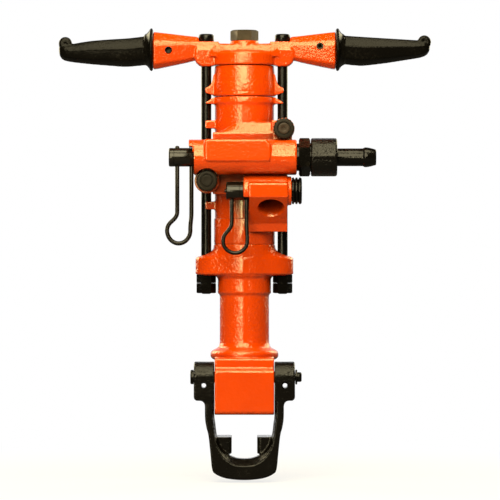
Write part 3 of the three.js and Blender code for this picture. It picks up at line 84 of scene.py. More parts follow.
class Value:
    """An output of a shader node, so that 1 - mask or a * b adds the Math node that does it."""

    def __init__(self, tree, socket):
        self.tree = tree
        self.socket = socket

    def __add__(self, other):
        return self.tree.math("ADD", self, other)

    def __mul__(self, other):
        return self.tree.math("MULTIPLY", self, other)

    def __sub__(self, other):
        return self.tree.math("SUBTRACT", self, other)

    def __rsub__(self, other):
        return self.tree.math("SUBTRACT", other, self)

    __radd__ = __add__
    __rmul__ = __mul__

    def between(self, low, high):
        """0 below low, 1 above high and a soft step from one to the other."""
        settings = {"interpolation_type": "SMOOTHSTEP"}
        inputs = {"Value": self, "From Min": low, "From Max": high}
        return self.tree.node("ShaderNodeMapRange", settings, inputs)


class Tree:
    """The nodes of a material or of the world."""

    def __init__(self, owner):
        owner.use_nodes = True
        self.nodes = owner.node_tree.nodes
        self.links = owner.node_tree.links

    def feed(self, socket, value):
        if isinstance(value, Value):
            self.links.new(value.socket, socket)
        elif socket.type == "RGBA":
            socket.default_value = (*value, 1)
        else:
            socket.default_value = value

    def node(self, kind, settings, inputs, output=0):
        made = self.nodes.new(kind)
        for name, value in settings.items():
            setattr(made, name, value)
        for name, value in inputs.items():
            self.feed(made.inputs[name], value)
        return Value(self, made.outputs[output])

    def math(self, operation, first, second):
        return self.node("ShaderNodeMath", {"operation": operation}, {0: first, 1: second})

    def blend(self, factor, first, second):
        """One colour where factor is 0 and the other where it is 1."""
        return self.node("ShaderNodeMix", {"data_type": "RGBA"}, {0: factor, 6: first, 7: second}, 2)

    def ray(self, kind):
        """1 for one kind of ray and 0 for the others."""
        return self.node("ShaderNodeLightPath", {}, {}, f"Is {kind} Ray")


WHITE = (1, 1, 1)
ROOM_GREY = (0.07, 0.067, 0.063)  # what lights the drill from the room
DIM = (0.015, 0.014, 0.012)  # what the room looks like in the drill's gloss
BACKDROP = (0.72, 1.0)  # the gloss finds the white backdrop from here to straight behind

world = bpy.data.worlds.new("studio")
bpy.context.scene.world = world
air = Tree(world)
mirrored = air.ray("Glossy")
heading = air.node("ShaderNodeTexCoord", {}, {}, "Generated")
backdrop = air.node("ShaderNodeSeparateXYZ", {}, {"Vector": heading}, "Y").between(*BACKDROP)
room = air.blend(mirrored, ROOM_GREY, DIM)
shown = mirrored * backdrop + air.ray("Camera") + air.ray("Transmission")
air.feed(air.nodes["Background"].inputs["Color"], air.blend(shown, room, WHITE))

FLOOR_WHITE = (0.9, 0.9, 0.9)  # the floor as the camera sees it
FLOOR_GREY = (0.09, 0.087, 0.083)  # the floor as it lights the drill
FLOOR_REACH = 9  # metres
FLOOR_GAP = 0.002  # metres below the drill
SHADOW_LEFT = 0.25  # share of the floor's own shading that the camera sees near the drill
SHADOW_REACH = (0.2, 0.9)  # metres from the drill over which that share fades out
FLOOR_GLOW = 0.05  # share of white in the floor's reflection

square = [(-1, -1), (1, -1), (1, 1), (-1, 1)]
corners = [(x * FLOOR_REACH, y * FLOOR_REACH, cad_low.z - FLOOR_GAP) for x, y in square]
floor_mesh = bpy.data.meshes.new("floor")
floor_mesh.from_pydata(corners, [], [(0, 1, 2, 3)])
floor = added("floor", floor_mesh)
pale = bpy.data.materials.new("pale floor")
ground = Tree(pale)
seen = ground.ray("Camera")
glowing = ground.node("ShaderNodeEmission", {}, {"Color": WHITE}, "Emission")
floor_colour = ground.blend(seen, FLOOR_GREY, FLOOR_WHITE)
matt = ground.node("ShaderNodeBsdfDiffuse", {}, {"Color": floor_colour}, "BSDF")
spot = ground.node("ShaderNodeTexCoord", {}, {}, "Object")
away = ground.node("ShaderNodeVectorMath", {"operation": "LENGTH"}, {0: spot}, "Value")
shaded = (1 - away.between(*SHADOW_REACH)) * SHADOW_LEFT
share = seen * (1 - shaded) + ground.ray("Glossy") * FLOOR_GLOW
mixed = ground.node("ShaderNodeMixShader", {}, {0: share, 1: matt, 2: glowing}, "Shader")
ground.feed(ground.nodes["Material Output"].inputs["Surface"], mixed)
floor_mesh.materials.append(pale)

WARM = (1, 0.88, 0.54)
# Softboxes: azimuth from the camera's side, elevation, distance, width and height in metres, watts.
SOFTBOXES = {
    "key softbox": (-7, 30.5, 2.0, 1.46, 1.42, 48),
    "low strip": (-18, 1, 2.0, 0.62, 0.3, 6.5),
    "overhead softbox": (6, 72, 1.8, 1.5, 0.85, 25),
    "left back softbox": (-136, 22, 2.2, 1.0, 1.5, 30),
    "right back softbox": (136, 22, 2.2, 1.0, 1.5, 30),
}
for name, (azimuth, elevation, distance, width, height, power) in SOFTBOXES.items():
    lamp = bpy.data.lights.new(name, "AREA")
    lamp.shape = "RECTANGLE"
    lamp.size = width
    lamp.size_y = height
    lamp.energy = power
    lamp.color = WARM
    stand = added(name, lamp)
    turn = math.radians(azimuth)
    rise = math.radians(elevation)
    level = math.cos(rise)
    out = Vector((math.sin(turn) * level, -math.cos(turn) * level, math.sin(rise)))
    stand.location = AIM * MM + out * distance
    stand.rotation_euler = (-out).to_track_quat("-Z", "Y").to_euler()

# Front head: a steel casting that houses the chuck. It has two lugs for the side rods at the
# top, a plain tube, and a square block below that carries the retainer's bolt. Its paint is
# thick gloss enamel, sprayed over the rough skin of the casting.
FINE = 0.9  # size of the cells that a casting is remeshed with
ROUND = 96  # sides of a turned form
ORANGE = (0.9, 0.071, 0.0)
# a deeper orange, for the paint's random tone and for the painted shade in its creases
DEEP_ORANGE = (0.6, 0.034, 0.0)
# painted shade: the colour that the recesses of the castings are darkened towards
PAINTED_SHADE = (0.07, 0.007, 0.001)
CHIPPED = (0.11, 0.045, 0.02)


class Finish(Tree):
    """The nodes of one of the drill's finishes, with the masks that they share."""

    def __init__(self, name):
        self.material = bpy.data.materials.new(name)
        super().__init__(self.material)
        self.place = self.node("ShaderNodeTexCoord", {}, {}, "Object")
        self.edge = self.node("ShaderNodeNewGeometry", {}, {}, "Pointiness")

    def noise(self, scale, detail=3, at=None):
        """Cloudy noise over the piece, finer at a larger scale."""
        inputs = {"Vector": at or self.place, "Scale": scale, "Detail": detail}
        return self.node("ShaderNodeTexNoise", {}, inputs)

    def machined(self, low, high):
        """1 on the flat faces that look straight forwards or back, which were milled smooth."""
        facing = self.node("ShaderNodeNewGeometry", {}, {}, "Normal")
        front = self.node("ShaderNodeSeparateXYZ", {}, {"Vector": facing}, "Y")
        return (front * front).between(low, high)

    def surface(self, colour, roughness, bump, fixed):
        """Feeds the shader with what varies, and sets what is the same all over."""
        strength, distance, height = bump
        relief = {"Strength": strength, "Distance": distance, "Height": height}
        shader = self.nodes["Principled BSDF"]
        self.feed(shader.inputs["Base Color"], colour)
        self.feed(shader.inputs["Roughness"], roughness)
        self.feed(shader.inputs["Normal"], self.node("ShaderNodeBump", {}, relief, "Normal"))
        for name, value in fixed.items():
            shader.inputs[name].default_value = value
        return self.material


def painted(name):
    """Gloss enamel with orange peel over a sand-cast skin, worn thin along the sharpest edges, with painted
    shade in its creases and recesses.
    """
    coat = Finish(name)
    broad = coat.noise(26)
    sand = coat.noise(110)
    peel = coat.noise(290)
    grit = coat.noise(1500, 1)
    # Painted shade: the colour turns a deeper orange in concave creases, found by pointiness.
    crease_shade = 1 - coat.edge.between(0.44, 0.5)
    worn = coat.edge.between(0.56, 0.62) * grit.between(0.56, 0.66) * broad.between(0.45, 0.6)
    # Painted shade: the base colour darkens where ambient occlusion finds the surface closed in, as in the
    # port and under the pad.
    open_sky = coat.node("ShaderNodeAmbientOcclusion", {"samples": 6}, {"Distance": 0.05}, "AO")
    painted_shade_share = (1 - open_sky.between(0.25, 0.85)) * 0.85
    base = coat.blend(broad.between(0.35, 0.7) * 0.16 + crease_shade * 0.5, ORANGE, DEEP_ORANGE)
    colour = coat.blend(worn * 0.8, coat.blend(painted_shade_share, base, PAINTED_SHADE), CHIPPED)
    rough_skin = 1 - coat.machined(0.965, 0.998) * 0.8
    height = (sand * 0.5 + peel * 0.8) * rough_skin + grit * 0.02
    return coat.surface(colour, 0.08 + broad * 0.06 + worn * 0.4, (0.9, 0.0013, height), {
        "IOR": 1.6, "Specular IOR Level": 0.9, "Specular Tint": (1, 0.92, 0.62, 1),
    })


def skin(rings):
    """A skin over rings of points in millimetres, closed at its ends unless it returns to the first."""
    count = len(rings[0])
    points = [p for ring in rings for p in ring]
    faces = []
    for start in range(0, len(points) - count, count):
        for i in range(count):
            ahead = (i + 1) % count
            faces.append((start + i, start + ahead, start + count + ahead, start + count + i))
    if rings[0] != rings[-1]:
        faces.append(tuple(reversed(range(count))))
        faces.append(tuple(range(len(points) - count, len(points))))
    mesh = bpy.data.meshes.new("form")
    mesh.from_pydata([tuple(c * MM for c in p) for p in points], [], faces)
    made = bmesh.new()
    made.from_mesh(mesh)
    bmesh.ops.remove_doubles(made, verts=made.verts, dist=1e-7)
    bmesh.ops.recalc_face_normals(made, faces=made.faces)
    made.to_mesh(mesh)
    made.free()
    return added("form", mesh)


def placed(axis, along, across, up):
    """A point from its distance along an axis and its two coordinates across it."""
    if axis == "X":
        return (along, across, up)
    if axis == "Y":
        return (across, along, up)
    return (across, up, along)


def turns(count):
    """Evenly spaced angles, once round."""
    return [2 * math.pi * i / count for i in range(count)]


def polar(centre, radius, angle):
    """The point at a radius and an angle about a centre."""
    return (centre[0] + radius * math.cos(angle), centre[1] + radius * math.sin(angle))


def turned(profile, axis="Z", centre=(0, 0), sides=ROUND):
    """A profile of (place along the axis, radius) turned about it, closed at its two ends."""
    return skin([
        [placed(axis, along, *polar(centre, radius, turn)) for turn in turns(sides)]
        for along, radius in profile
    ])


def drill(low, high, radius, axis="Z", centre=(0, 0), sides=ROUND):
    """A straight round form, used to cut a hole."""
    return turned([(low, radius), (high, radius)], axis, centre, sides)


def arcs(points, steps=8):
    """An outline whose corners are rounded: each point is (u, v) or (u, v, radius)."""
    line = []
    for i, corner in enumerate(points):
        here = Vector(corner[:2])
        radius = corner[2] if len(corner) > 2 else 0
        to_last = Vector(points[i - 1][:2]) - here
        to_next = Vector(points[(i + 1) % len(points)][:2]) - here
        half = to_last.angle(to_next) / 2 if radius else 0
        if not radius or half > math.radians(89):
            line.append(tuple(here))
            continue
        back = min(radius / math.tan(half), 0.49 * to_last.length, 0.49 * to_next.length)
        enter = here + to_last.normalized() * back
        leave = here + to_next.normalized() * back
        inwards = (to_last.normalized() + to_next.normalized()).normalized()
        middle = here + inwards * (back / math.cos(half))
        start = math.atan2(enter.y - middle.y, enter.x - middle.x)
        sweep = math.atan2(leave.y - middle.y, leave.x - middle.x) - start
        sweep = (sweep + math.pi) % (2 * math.pi) - math.pi
        size = (enter - middle).length
        for s in range(steps + 1):
            line.append(polar(middle, size, start + sweep * s / steps))
    return line


def plate(line, axis, low, high):
    """An outline pushed along an axis from one place to another."""
    rings = [[placed(axis, along, u, v) for u, v in line] for along in (low, high)]
    return skin(rings)


def settle(piece):
    """Turns a piece's modifiers into its own mesh."""
    graph = bpy.context.evaluated_depsgraph_get()
    shaped = bpy.data.meshes.new_from_object(piece.evaluated_get(graph))
    piece.modifiers.clear()
    piece.data = shaped
    return piece


def together(pieces):
    """Several meshes in one object."""
    made = bmesh.new()
    for piece in pieces:
        made.from_mesh(piece.data)
        bpy.data.objects.remove(piece)
    mesh = bpy.data.meshes.new("form")
    made.to_mesh(mesh)
    made.free()
    return added("form", mesh)


def cast(pieces, passes=5, cell=FINE):
    """A casting: overlapping forms that run into each other with soft fillets."""
    whole = together(pieces)
    remesh = whole.modifiers.new("remesh", "REMESH")
    remesh.mode = "VOXEL"
    remesh.voxel_size = cell * MM
    soften = whole.modifiers.new("soften", "SMOOTH")
    soften.factor = 0.5
    soften.iterations = passes
    return settle(whole)


def carved(whole, tool, operation):
    """Cuts a form out of a piece, or keeps only what they share."""
    change = whole.modifiers.new("carve", "BOOLEAN")
    change.operation = operation
    change.solver = "MANIFOLD"
    change.object = tool
    settle(whole)
    bpy.data.objects.remove(tool)
    return whole


def cut(whole, *tools):
    """Takes clean machined forms, which don't touch each other, out of a piece."""
    return carved(whole, together(tools), "DIFFERENCE")


def finished(piece, node, material, kind="steel", body="root", crease=40):
    """Names a piece, gives it its finish and lets it ride on its body in place of its CAD node."""
    piece.name = f"{node}_{kind}"
    piece.data.name = piece.name
    piece.data.materials.clear()
    piece.data.materials.append(material)
    piece.data.shade_smooth()
    piece.data.set_sharp_from_angle(angle=math.radians(crease))
    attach(piece, body)
    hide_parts(node)


def span(node):
    """The lowest and highest corners of a CAD node, in millimetres."""
    low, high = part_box(node)
    return low / MM, high / MM


ROD_ACROSS = 53.4  # from the drill's axis to each side rod
ROD_HOLE = 7.45
SIDES = (-1, 1)  # left and right


def rod_holes(whole, low, high, radius):
    """Cuts the same hole round both side rods."""
    return cut(whole, *[drill(low, high, radius, "Z", (side * ROD_ACROSS, 0)) for side in SIDES])


paint = painted("orange enamel")
head_high = span("front_head")[1]
LUG_LOW = 194
LUG_HIGH = 217.5
TUBE = 34.5
COLLAR = 37.4
BLOCK_HALF = 41.2
BOLT_LINE = (-42, 51.8)
BOLT_HOLE = 8.4
CHUCK_ROOM = 25.9
CHUCK_SEAT = 120
RUNNING_GAP = 0.4


def lobes(z, core, reach, sharpness=6):
    """A ring whose radius swells towards the side rods, as the lugs of a casting do."""
    ring = []
    for angle in turns(ROUND):
        radius = core + reach * abs(math.cos(angle)) ** sharpness
        ring.append((*polar((0, 0), radius, angle), z))
    return ring


# Up the lugs: height, core radius and how far the lobes reach beyond it.
LOBES = [
    (LUG_LOW - 1.5, 38, 22), (LUG_LOW, 41, 26.4), (LUG_LOW + 1.5, 43, 25.5), (LUG_HIGH - 1.5, 43, 25.5),
    (LUG_HIGH + 1, 42.6, 24), (LUG_HIGH + 3, 42.8, 17), (LUG_HIGH + 6, 43, 9), (LUG_HIGH + 9.5, 43, 3),
    (LUG_HIGH + 13, 43, 0.4), (head_high.z - 0.8, 43, 0), (head_high.z + 0.5, 42, 0),
]
tube = turned([
    (74, 40), (76, 44.8), (78, 46.8), (80.5, 47.5), (84.5, 47.4), (87.5, 45.5), (89.5, 42), (91, 38.4),
    (93.5, 36), (98, TUBE + 0.2), (102, TUBE), (165.5, TUBE), (166.6, TUBE + 1.2), (167.6, 36.8),
    (169, COLLAR), (188.5, COLLAR), (190, 38.6), (192.5, 41), (196, 41.5),
])
block_side = arcs([
    (-63.5, 0, 6), (41, 0, 6), (41, 78, 5), (-54.5, 78, 2.5), (-54.5, 63.4, 3), (-63.5, 61.6, 4),
])
lugs = skin([lobes(*row) for row in LOBES])
front_head = cast([lugs, tube, plate(block_side, "X", -BLOCK_HALF, BLOCK_HALF)])
bush_high = span("front_head_bush")[1]
chuck_high = span("chuck")[1]
bush_room = bush_high.x + RUNNING_GAP
chuck_room = chuck_high.x + RUNNING_GAP
bore = turned([
    (-5, bush_room), (bush_high.z + 0.3, bush_room), (bush_high.z + 0.31, CHUCK_ROOM),
    (CHUCK_SEAT, CHUCK_ROOM), (CHUCK_SEAT + 0.01, chuck_room), (head_high.z + 3, chuck_room),
])
cut(front_head, bore)
cut(front_head, drill(-50, 50, BOLT_HOLE, "X", BOLT_LINE))
rod_holes(front_head, 180, 240, ROD_HOLE)
finished(front_head, "front_head", paint, "casting")

# Front bushing ring: a turned ring clamped between the front head and the cylinder, which
# guides the nose of the piston. It is painted with the castings, so only its seams show.
ring_low, ring_high = span("front_ring")
NOSE = 18.1
ring = turned([
    (ring_low.z, NOSE), (ring_low.z, 41.9), (ring_low.z + 0.5, 42.4), (ring_low.z + 1.2, 42.6),
    (ring_high.z - 1.2, 42.6), (ring_high.z - 0.5, 42.4), (ring_high.z, 41.9), (ring_high.z, NOSE),
    (ring_low.z, NOSE),
])
finished(ring, "front_ring", paint, "turned")

# Cylinder: the main iron casting, bored for the piston. On its front are a chest with a sloping
# shoulder for the throttle valve body, and the exhaust block that carries the blow valve.
cyl_low, cyl_high = span("cylinder")
ring_top = ring_high.z
BARREL = 41.5
BORE = 33.5
CHEST = 50
VALVE_Y = -70
THROTTLE_Z = ring_top + 84
BLOW_LINE = (VALVE_Y, ring_top + 37.7)
blow_z = BLOW_LINE[1]
UPPER_SCREW = (54.6, THROTTLE_Z + 39.7)
LOWER_SCREW = (-51.8, THROTTLE_Z - 32.3)
SCREWS = (UPPER_SCREW, LOWER_SCREW)
SCREW_HOLE = 6.4
ROD_GROOVE = 7.95
RIM = 13  # half depth of the forms that steady the side rods
SHOULDER_LOW = ring_top + 119.5
SHOULDER_RISE = 13.7
BLOCK_LEFT, BLOCK_RIGHT = 6.2, 59.6
FACE = -94
LEVER_ROOM = 26
SWING_STEP = 3  # degrees between the points of the room that a lever's legs swing in

barrel = turned([
    (cyl_low.z, 40.2), (cyl_low.z + 0.4, 41), (cyl_low.z + 1.2, BARREL), (429, BARREL), (431, 41.7),
    (432.5, 42.6), (434, 43.2), (440.2, 43), (441.7, 42.2), (cyl_high.z, 40.8),
])


def rim(side, outline, steps=4):
    """An outline drawn on the right, set on either side of the drum and as deep as the rims."""
    return plate(arcs([(side * u, *v) for u, *v in outline], steps), "Y", -RIM, RIM)


GUIDE = [
    (38, 432), (46, 432.4), (53.4, 432.6, 0.8), (54.3, 434.2, 0.8), (48, 438.2, 3), (43, 441.4, 2),
    (38, 441.6),
]
guides = []
for side in SIDES:
    guides.append(rim(side, GUIDE))
    for low in (285, 398.2):
        guides.append(rim(side, [
            (38, low - 1), (43, low, 1), (54.5, low, 2.4), (54.5, low + 10.9, 2.4), (43, low + 11, 1),
            (38, low + 12),
        ]))
# Along the top of the chest: place, and share of the shoulder's rise.
CREST = [
    (46, 1), (5, 1), (-3, 0.95), (-10, 0.83), (-16, 0.68), (-22, 0.48), (-28, 0.22), (-33, 0),
    (-44, -0.2),
]


def chest_ring(depth, rise, inset=0):
    """The outline of the chest at one depth, with its crest raised by a share of the shoulder."""
    low = ring_top + 33.7 + inset
    top = []
    for u, share in CREST:
        top.append((u - math.copysign(inset, u), -depth, SHOULDER_LOW + share * rise - inset))
    return [(-44 + inset, -depth, low), (46 - inset, -depth, low), *top]


chest = skin([
    chest_ring(12, SHOULDER_RISE), chest_ring(40.5, SHOULDER_RISE), chest_ring(49, 1.2),
    chest_ring(CHEST, 0, 0.8),
])
screw_lugs = []
for x, z in SCREWS:
    inward = math.copysign(38, x)
    screw_lugs.append(turned([(-CHEST, 12), (-15, 12)], "Y", (x, z)))
    web = [(inward, z - 12), (x, z - 12), (x, z + 12), (inward, z + 12)]
    screw_lugs.append(plate(web, "Y", -CHEST, -15))

block_line = arcs([
    (-30, blow_z + 18), (FACE + 10, blow_z + 13.2, 2), (FACE, blow_z + 10, 1.6), (FACE, blow_z - 9, 0.9),
    (-CHEST, blow_z - 45, 1.2), (-46.5, blow_z - 56.5, 1), (-43.6, blow_z - 56.5, 0.6),
    (-43.6, cyl_low.z), (-30, cyl_low.z),
], 4)
exhaust = plate(block_line, "X", BLOCK_LEFT, BLOCK_RIGHT)
boss = turned([(BLOCK_LEFT, 21.5), (59, 21.5), (BLOCK_RIGHT, 20.6)], "X", BLOW_LINE)
flange = turned([(56, 20), (64.4, 20), (65.2, 19.2)], "X", BLOW_LINE)
collar = turned([(-1.4, 20), (-0.6, 21), (9.2, 21)], "X", BLOW_LINE)
cylinder = cast([barrel, *guides, chest, *screw_lugs, exhaust, boss, flange, collar], passes=3)
cut(cylinder, drill(260, 450, BORE))

run = Vector((0, FACE + CHEST, 36)).normalized()  # up the sloping face that the port is in
out = Vector((0, -run.z, run.y))  # straight out of that face
port_middle = Vector((36.8, FACE, blow_z - 9)) - run * (15 / run.z)
port = turned([(-50, 13), (-7, 16.2), (-2, 17.4), (0.2, 18.9), (4, 20)])
leaning = out.to_track_quat("Z", "Y").to_matrix().to_4x4()
port.data.transform(Matrix.Translation(port_middle * MM) @ leaning)
cut(cylinder, port)
valve_seat = [(-5, 12.95), (11, 12.95), (11.01, 9.4), (57, 9.4), (57.01, 14.8), (68, 14.8)]
cut(cylinder, turned(valve_seat, "X", BLOW_LINE))


def lever_room(line, radius, last, low, high):
    """A sector under a spindle, wide enough for the legs of its wire lever to swing forwards."""
    sector = [line]
    for angle in range(-18, last, SWING_STEP):
        turn = math.radians(angle)
        sector.append((line[0] - radius * math.sin(turn), line[1] - radius * math.cos(turn)))
    return plate(sector, "X", low, high)


cut(cylinder, lever_room(BLOW_LINE, LEVER_ROOM, 69, -4.4, 6.6))
rod_holes(cylinder, 275, 450, ROD_GROOVE)
cut(cylinder, *[drill(-55, -22, SCREW_HOLE, "Y", spot) for spot in SCREWS])
finished(cylinder, "cylinder", paint, "casting")

# Ratchet housing: a short cast drum between the cylinder and the backhead, which holds the
# toothed ring. Its two flared ears steady the side rods, and a fine step runs round it.
housing_low, housing_high = span("ratchet_housing")
FLARE = [
    (38, 444.6), (46, 445.2), (54.4, 448, 1.4), (54.8, 454.4, 1.6), (50.4, 456.2, 2.5), (47, 459.4, 4),
    (44.6, 465, 6), (43, 474, 4), (38, 474),
]
drum = turned([
    (housing_low.z, 41.6), (443.2, 43), (444, 43.5), (447.6, 43.6), (448.2, 43.1), (448.8, 43.1),
    (449.4, 43.6), (459.6, 43.5), (461.2, 43.4), (462.2, 43), (470, 42.7), (478, 42.1), (484.6, 41.4),
    (485.5, 41), (housing_high.z, 40.4),
])
ears = [rim(side, FLARE, 5) for side in SIDES]
housing = cast([drum, *ears], passes=3)
cut(housing, turned([(438, 24.8), (447.4, 24.8), (447.41, 34.1), (490, 34.1)]))
rod_holes(housing, 440, 480, ROD_GROOVE)
finished(housing, "ratchet_housing", paint, "casting")

# Backhead: the top casting. Two lugs hold the heads of the side rods, and two arms that swell
# outwards hold the handle bars, so the feed force goes straight into the drum.
ARM_Z = 508.7
ROD_SEAT = 519.4
ROD_POCKET = 11.9
CORE_HOLE = 12.35
PIN_HOLE = 5
PINS = {"left": (-106, ARM_Z - 1.7), "right": (105.4, ARM_Z + 4)}
foot = housing_high.z + 0.3
crown = turned([
    (foot, 42.2), (foot + 0.5, 43.1), (foot + 1.4, 43.6), (501.8, 43.5), (503.8, 42.6), (505, 40.4),
    (505.6, 36), (506, 30), (507, 24), (509, 21), (512, 20.2), (ROD_SEAT, 20), (520.4, 19.4), (521, 18.2),
])
spigot = turned([(471.9, 27.2), (468.2, 27.3), (468.1, 33.6), (foot + 4, 33.6)])
# Along half of the beam that joins the arms: place, half depth and top.
BRIDGE = [(66, 13, 520), (50, 16.5, 518.4), (40, 21, 517), (26, 25, 516.6)]
# Along an arm: place, top, bottom and half depth.
ARM = [
    (50, 519, 499, 14), (62, 521, 496, 15), (64.4, 525.4, 495, 15.6), (66.4, 526.5, 494, 16),
    (72.4, 527, 492.4, 17), (82, 528, 490, 18.8), (96, 529.7, 487, 21.2), (111, 531.4, 483.9, 23.6),
    (122.5, 532.7, 481.6, 25.4), (126.2, 533, 481.2, 25.8), (127.5, 532, 482.2, 24.8),
]
# Up an arm's front: share of its half depth, share of its height, and rounding.
ARM_EDGE = [(0.4, 0, 0.25), (0.8, 0.13, 0.25), (1, 0.7, 0.4), (0.3, 1, 0.2)]
# Up a rod lug: height, inner side, outer side and half depth.
LUG = [
    (foot - 1.6, 47, 60, 12.6), (foot - 0.6, 44, 62.6, 13.8), (foot + 1.4, 38, 65, 14.6),
    (490, 36, 67.6, 15), (498, 36, 70.6, 15.8), (506.5, 36, 69.6, 17), (509, 36, 69, 16.9),
    (514, 36, 68.4, 15.4), (ROD_SEAT, 36, 67.4, 13.4),
]


def mirrored_arcs(half_line, steps):
    """An outline rounded at its corners and the same on both sides, from its front half."""
    return arcs(half_line + [(-u, v, *curve) for u, v, *curve in reversed(half_line)], steps)


def bridge_ring(along, half, top):
    """A section of the beam: its front and back lean in under a rounded upper edge."""
    lean = 0.7 * half
    line = mirrored_arcs([(-half, 498), (-half, top - 11.5, 4), (-lean, top - 1, 4), (4 - lean, top, 3)], 4)
    return [(along, u, v) for u, v in line]


def arm_ring(side, along, top, bottom, half):
    """A section of an arm: its flat sides lean in towards the bottom, under a rounded shoulder."""
    high = top - bottom
    front = [(share * half, bottom + rise * high, curve * half) for share, rise, curve in ARM_EDGE]
    return [(side * along, u, v) for u, v in mirrored_arcs(front, 5)]


def lug_ring(side, height, inner, outer, half):
    """A section of a rod lug: it leans in towards its foot, under a bevel at its seat."""
    line = arcs([(inner, -half), (outer, -half, 4), (outer, half, 4), (inner, half)], 4)
    return [(side * u, v, height) for u, v in line]


bridge_rows = [(-along, *row) for along, *row in BRIDGE] + BRIDGE[::-1]
forms = [crown, spigot, skin([bridge_ring(*row) for row in bridge_rows])]
for side in SIDES:
    forms.append(skin([lug_ring(side, *row) for row in LUG]))
    forms.append(skin([arm_ring(side, *row) for row in ARM]))
backhead = cast(forms, passes=5)
rod_holes(backhead, 460, 530, ROD_HOLE)
rod_holes(backhead, ROD_SEAT, 545, ROD_POCKET)
cut(backhead, *[drill(side * 84, side * 131, CORE_HOLE, "X", (0, ARM_Z)) for side in SIDES])
cut(backhead, *[drill(-35, 35, PIN_HOLE, "Y", spot) for spot in PINS.values()])
cut(backhead, turned([
    (460, 4.9), (496.7, 4.9), (496.71, 9.4), (503, 9.4), (503.01, 13.4), (525, 13.4),
]))
finished(backhead, "backhead", paint, "casting")

# Hexagon plug: bare forged steel, screwed into the top of the backhead over the blow tube. Its
# top is chamfered, and the flats keep the brown of the rolling scale and thread sealant.
SCALE_BROWN = (0.05, 0.037, 0.021)
BARE = (0.33, 0.28, 0.21)
TOOL_LINES = (900, 40)  # fineness of the marks across and along the way a tool went
PLUG_FLATS = 34
PLUG_SEAT = 521.3


def steel(name, colour, light, metal, rough, across="Z", relief=0.35, level=0.5):
    """Machined or forged steel: fine tool lines square to an axis, stains and brighter wear."""
    work = Finish(name)
    stretch = Vector([TOOL_LINES[0] if axis == across else TOOL_LINES[1] for axis in "XYZ"])
    drawn = work.node("ShaderNodeVectorMath", {"operation": "MULTIPLY"}, {0: work.place, 1: stretch})
    marks = work.noise(1.6, 3, drawn)
    stain = work.noise(70, 4)
    pits = work.noise(900, 2)
    rubbed = work.edge.between(0.52, 0.6) * stain.between(0.35, 0.6)
    dark = [c * 0.5 for c in colour]
    shade = work.blend(stain.between(0.35, 0.65) * 0.55, colour, dark)
    tone = work.blend(rubbed * 0.6 + marks.between(0.55, 0.8) * 0.15, shade, light)
    height = marks * 0.4 + pits * 0.5
    return work.surface(tone, rough + stain * 0.18 - rubbed * 0.1, (relief, 0.0003, height), {
        "Metallic": metal, "Specular IOR Level": level,
    })


def hexagon(flats, low, high, chamfer_low, chamfer_high, axis="Z", centre=(0, 0), turn=0):
    """A six-sided head whose corners are turned off at one or both ends."""
    corner = flats / math.sqrt(3)
    line = [polar(centre, corner, math.radians(60 * i + turn)) for i in range(6)]
    clear = corner + 0.02
    turning = turned([
        (low, corner - 1.8 * chamfer_low), (low + chamfer_low, clear), (high - chamfer_high, clear),
        (high, corner - 1.8 * chamfer_high),
    ], axis, centre)
    return carved(plate(line, axis, low, high), turning, "INTERSECT")


def eased(piece, width):
    """Takes the sharpness off a machined piece's edges."""
    ease = piece.modifiers.new("ease", "BEVEL")
    ease.width = width * MM
    ease.segments = 3
    ease.limit_method = "ANGLE"
    ease.angle_limit = math.radians(35)
    ease.use_clamp_overlap = True
    return piece


scaled_steel = steel("scaled steel", SCALE_BROWN, BARE, 0.75, 0.42, relief=0.6)
plug_low, plug_high = span("backhead_plug")
plug = together([
    hexagon(PLUG_FLATS, PLUG_SEAT, plug_high.z, 0.4, 1.6),
    turned([(plug_low.z, 12.4), (plug_low.z + 1, 13), (522, 13)]),
])
finished(eased(plug, 0.35), "backhead_plug", scaled_steel, crease=25)

# Side rods: two long bolts that clamp the whole drill together, from the lugs of the backhead
# to those of the front head, where each is held by a nut and a lock nut. All are blacked steel.
BLACK = (0.003, 0.0025, 0.0019)
DUSTY = (0.02, 0.016, 0.011)
NUT_DUST = (0.015, 0.012, 0.008)
NUT_FLATS = 23.64
THREAD_HOLE = 7.3
HANDS = {"left": -1, "right": 1}


def blacked(name, colour=BLACK, light=DUSTY, rough=0.1, relief=0.6, grain=280, level=0.3):
    """Black enamel or oxide over steel, glossy, a little dusty and rubbed at the edges."""
    coat = Finish(name)
    cloud = coat.noise(45, 4)
    grains = coat.noise(grain)
    specks = coat.noise(1300, 1)
    rubbed = coat.edge.between(0.54, 0.62) * cloud.between(0.4, 0.6)
    dust = cloud.between(0.5, 0.75) * specks.between(0.45, 0.7)
    tone = coat.blend(dust * 0.35 + rubbed * 0.7, colour, light)
    height = grains * 0.7 * (1 - coat.machined(0.97, 0.997) * 0.92) + specks * 0.05
    roughness = rough + cloud * 0.05 + dust * 0.25
    return coat.surface(tone, roughness, (relief, 0.0014, height), {"Specular IOR Level": level})


black_rod = blacked("blacked rod steel", rough=0.2, relief=0.2, grain=200)
black_nut = blacked("blacked nut steel", light=NUT_DUST, relief=0.4, level=0.25)
for hand, side in HANDS.items():
    centre = (side * ROD_ACROSS, 0)
    rod_low, rod_high = span(f"side_rod_{hand}")
    rod = turned([
        (rod_low.z, 5.4), (rod_low.z + 1.6, 7.1), (519.6, 7.15), (519.7, 10.4), (520.2, 10.75),
        (527.4, 10.75), (528.6, 10.4), (529.6, 9.6), (530.3, 8.4), (rod_high.z, 6.4), (rod_high.z, 2.6),
        (529.4, 1.2),
    ], "Z", centre)
    finished(rod, f"side_rod_{hand}", black_rod, crease=45)
    for kind, chamfer in (("nut", 0.7), ("lock_nut", 0.9)):
        node = f"side_rod_{kind}_{hand}"
        nut_low, nut_high = span(node)
        nut = hexagon(NUT_FLATS, nut_low.z, nut_high.z, chamfer, 0.5, "Z", centre)
        cut(nut, drill(nut_low.z - 2, nut_high.z + 2, THREAD_HOLE, "Z", centre))
        finished(eased(nut, 0.4), node, black_nut, crease=25)

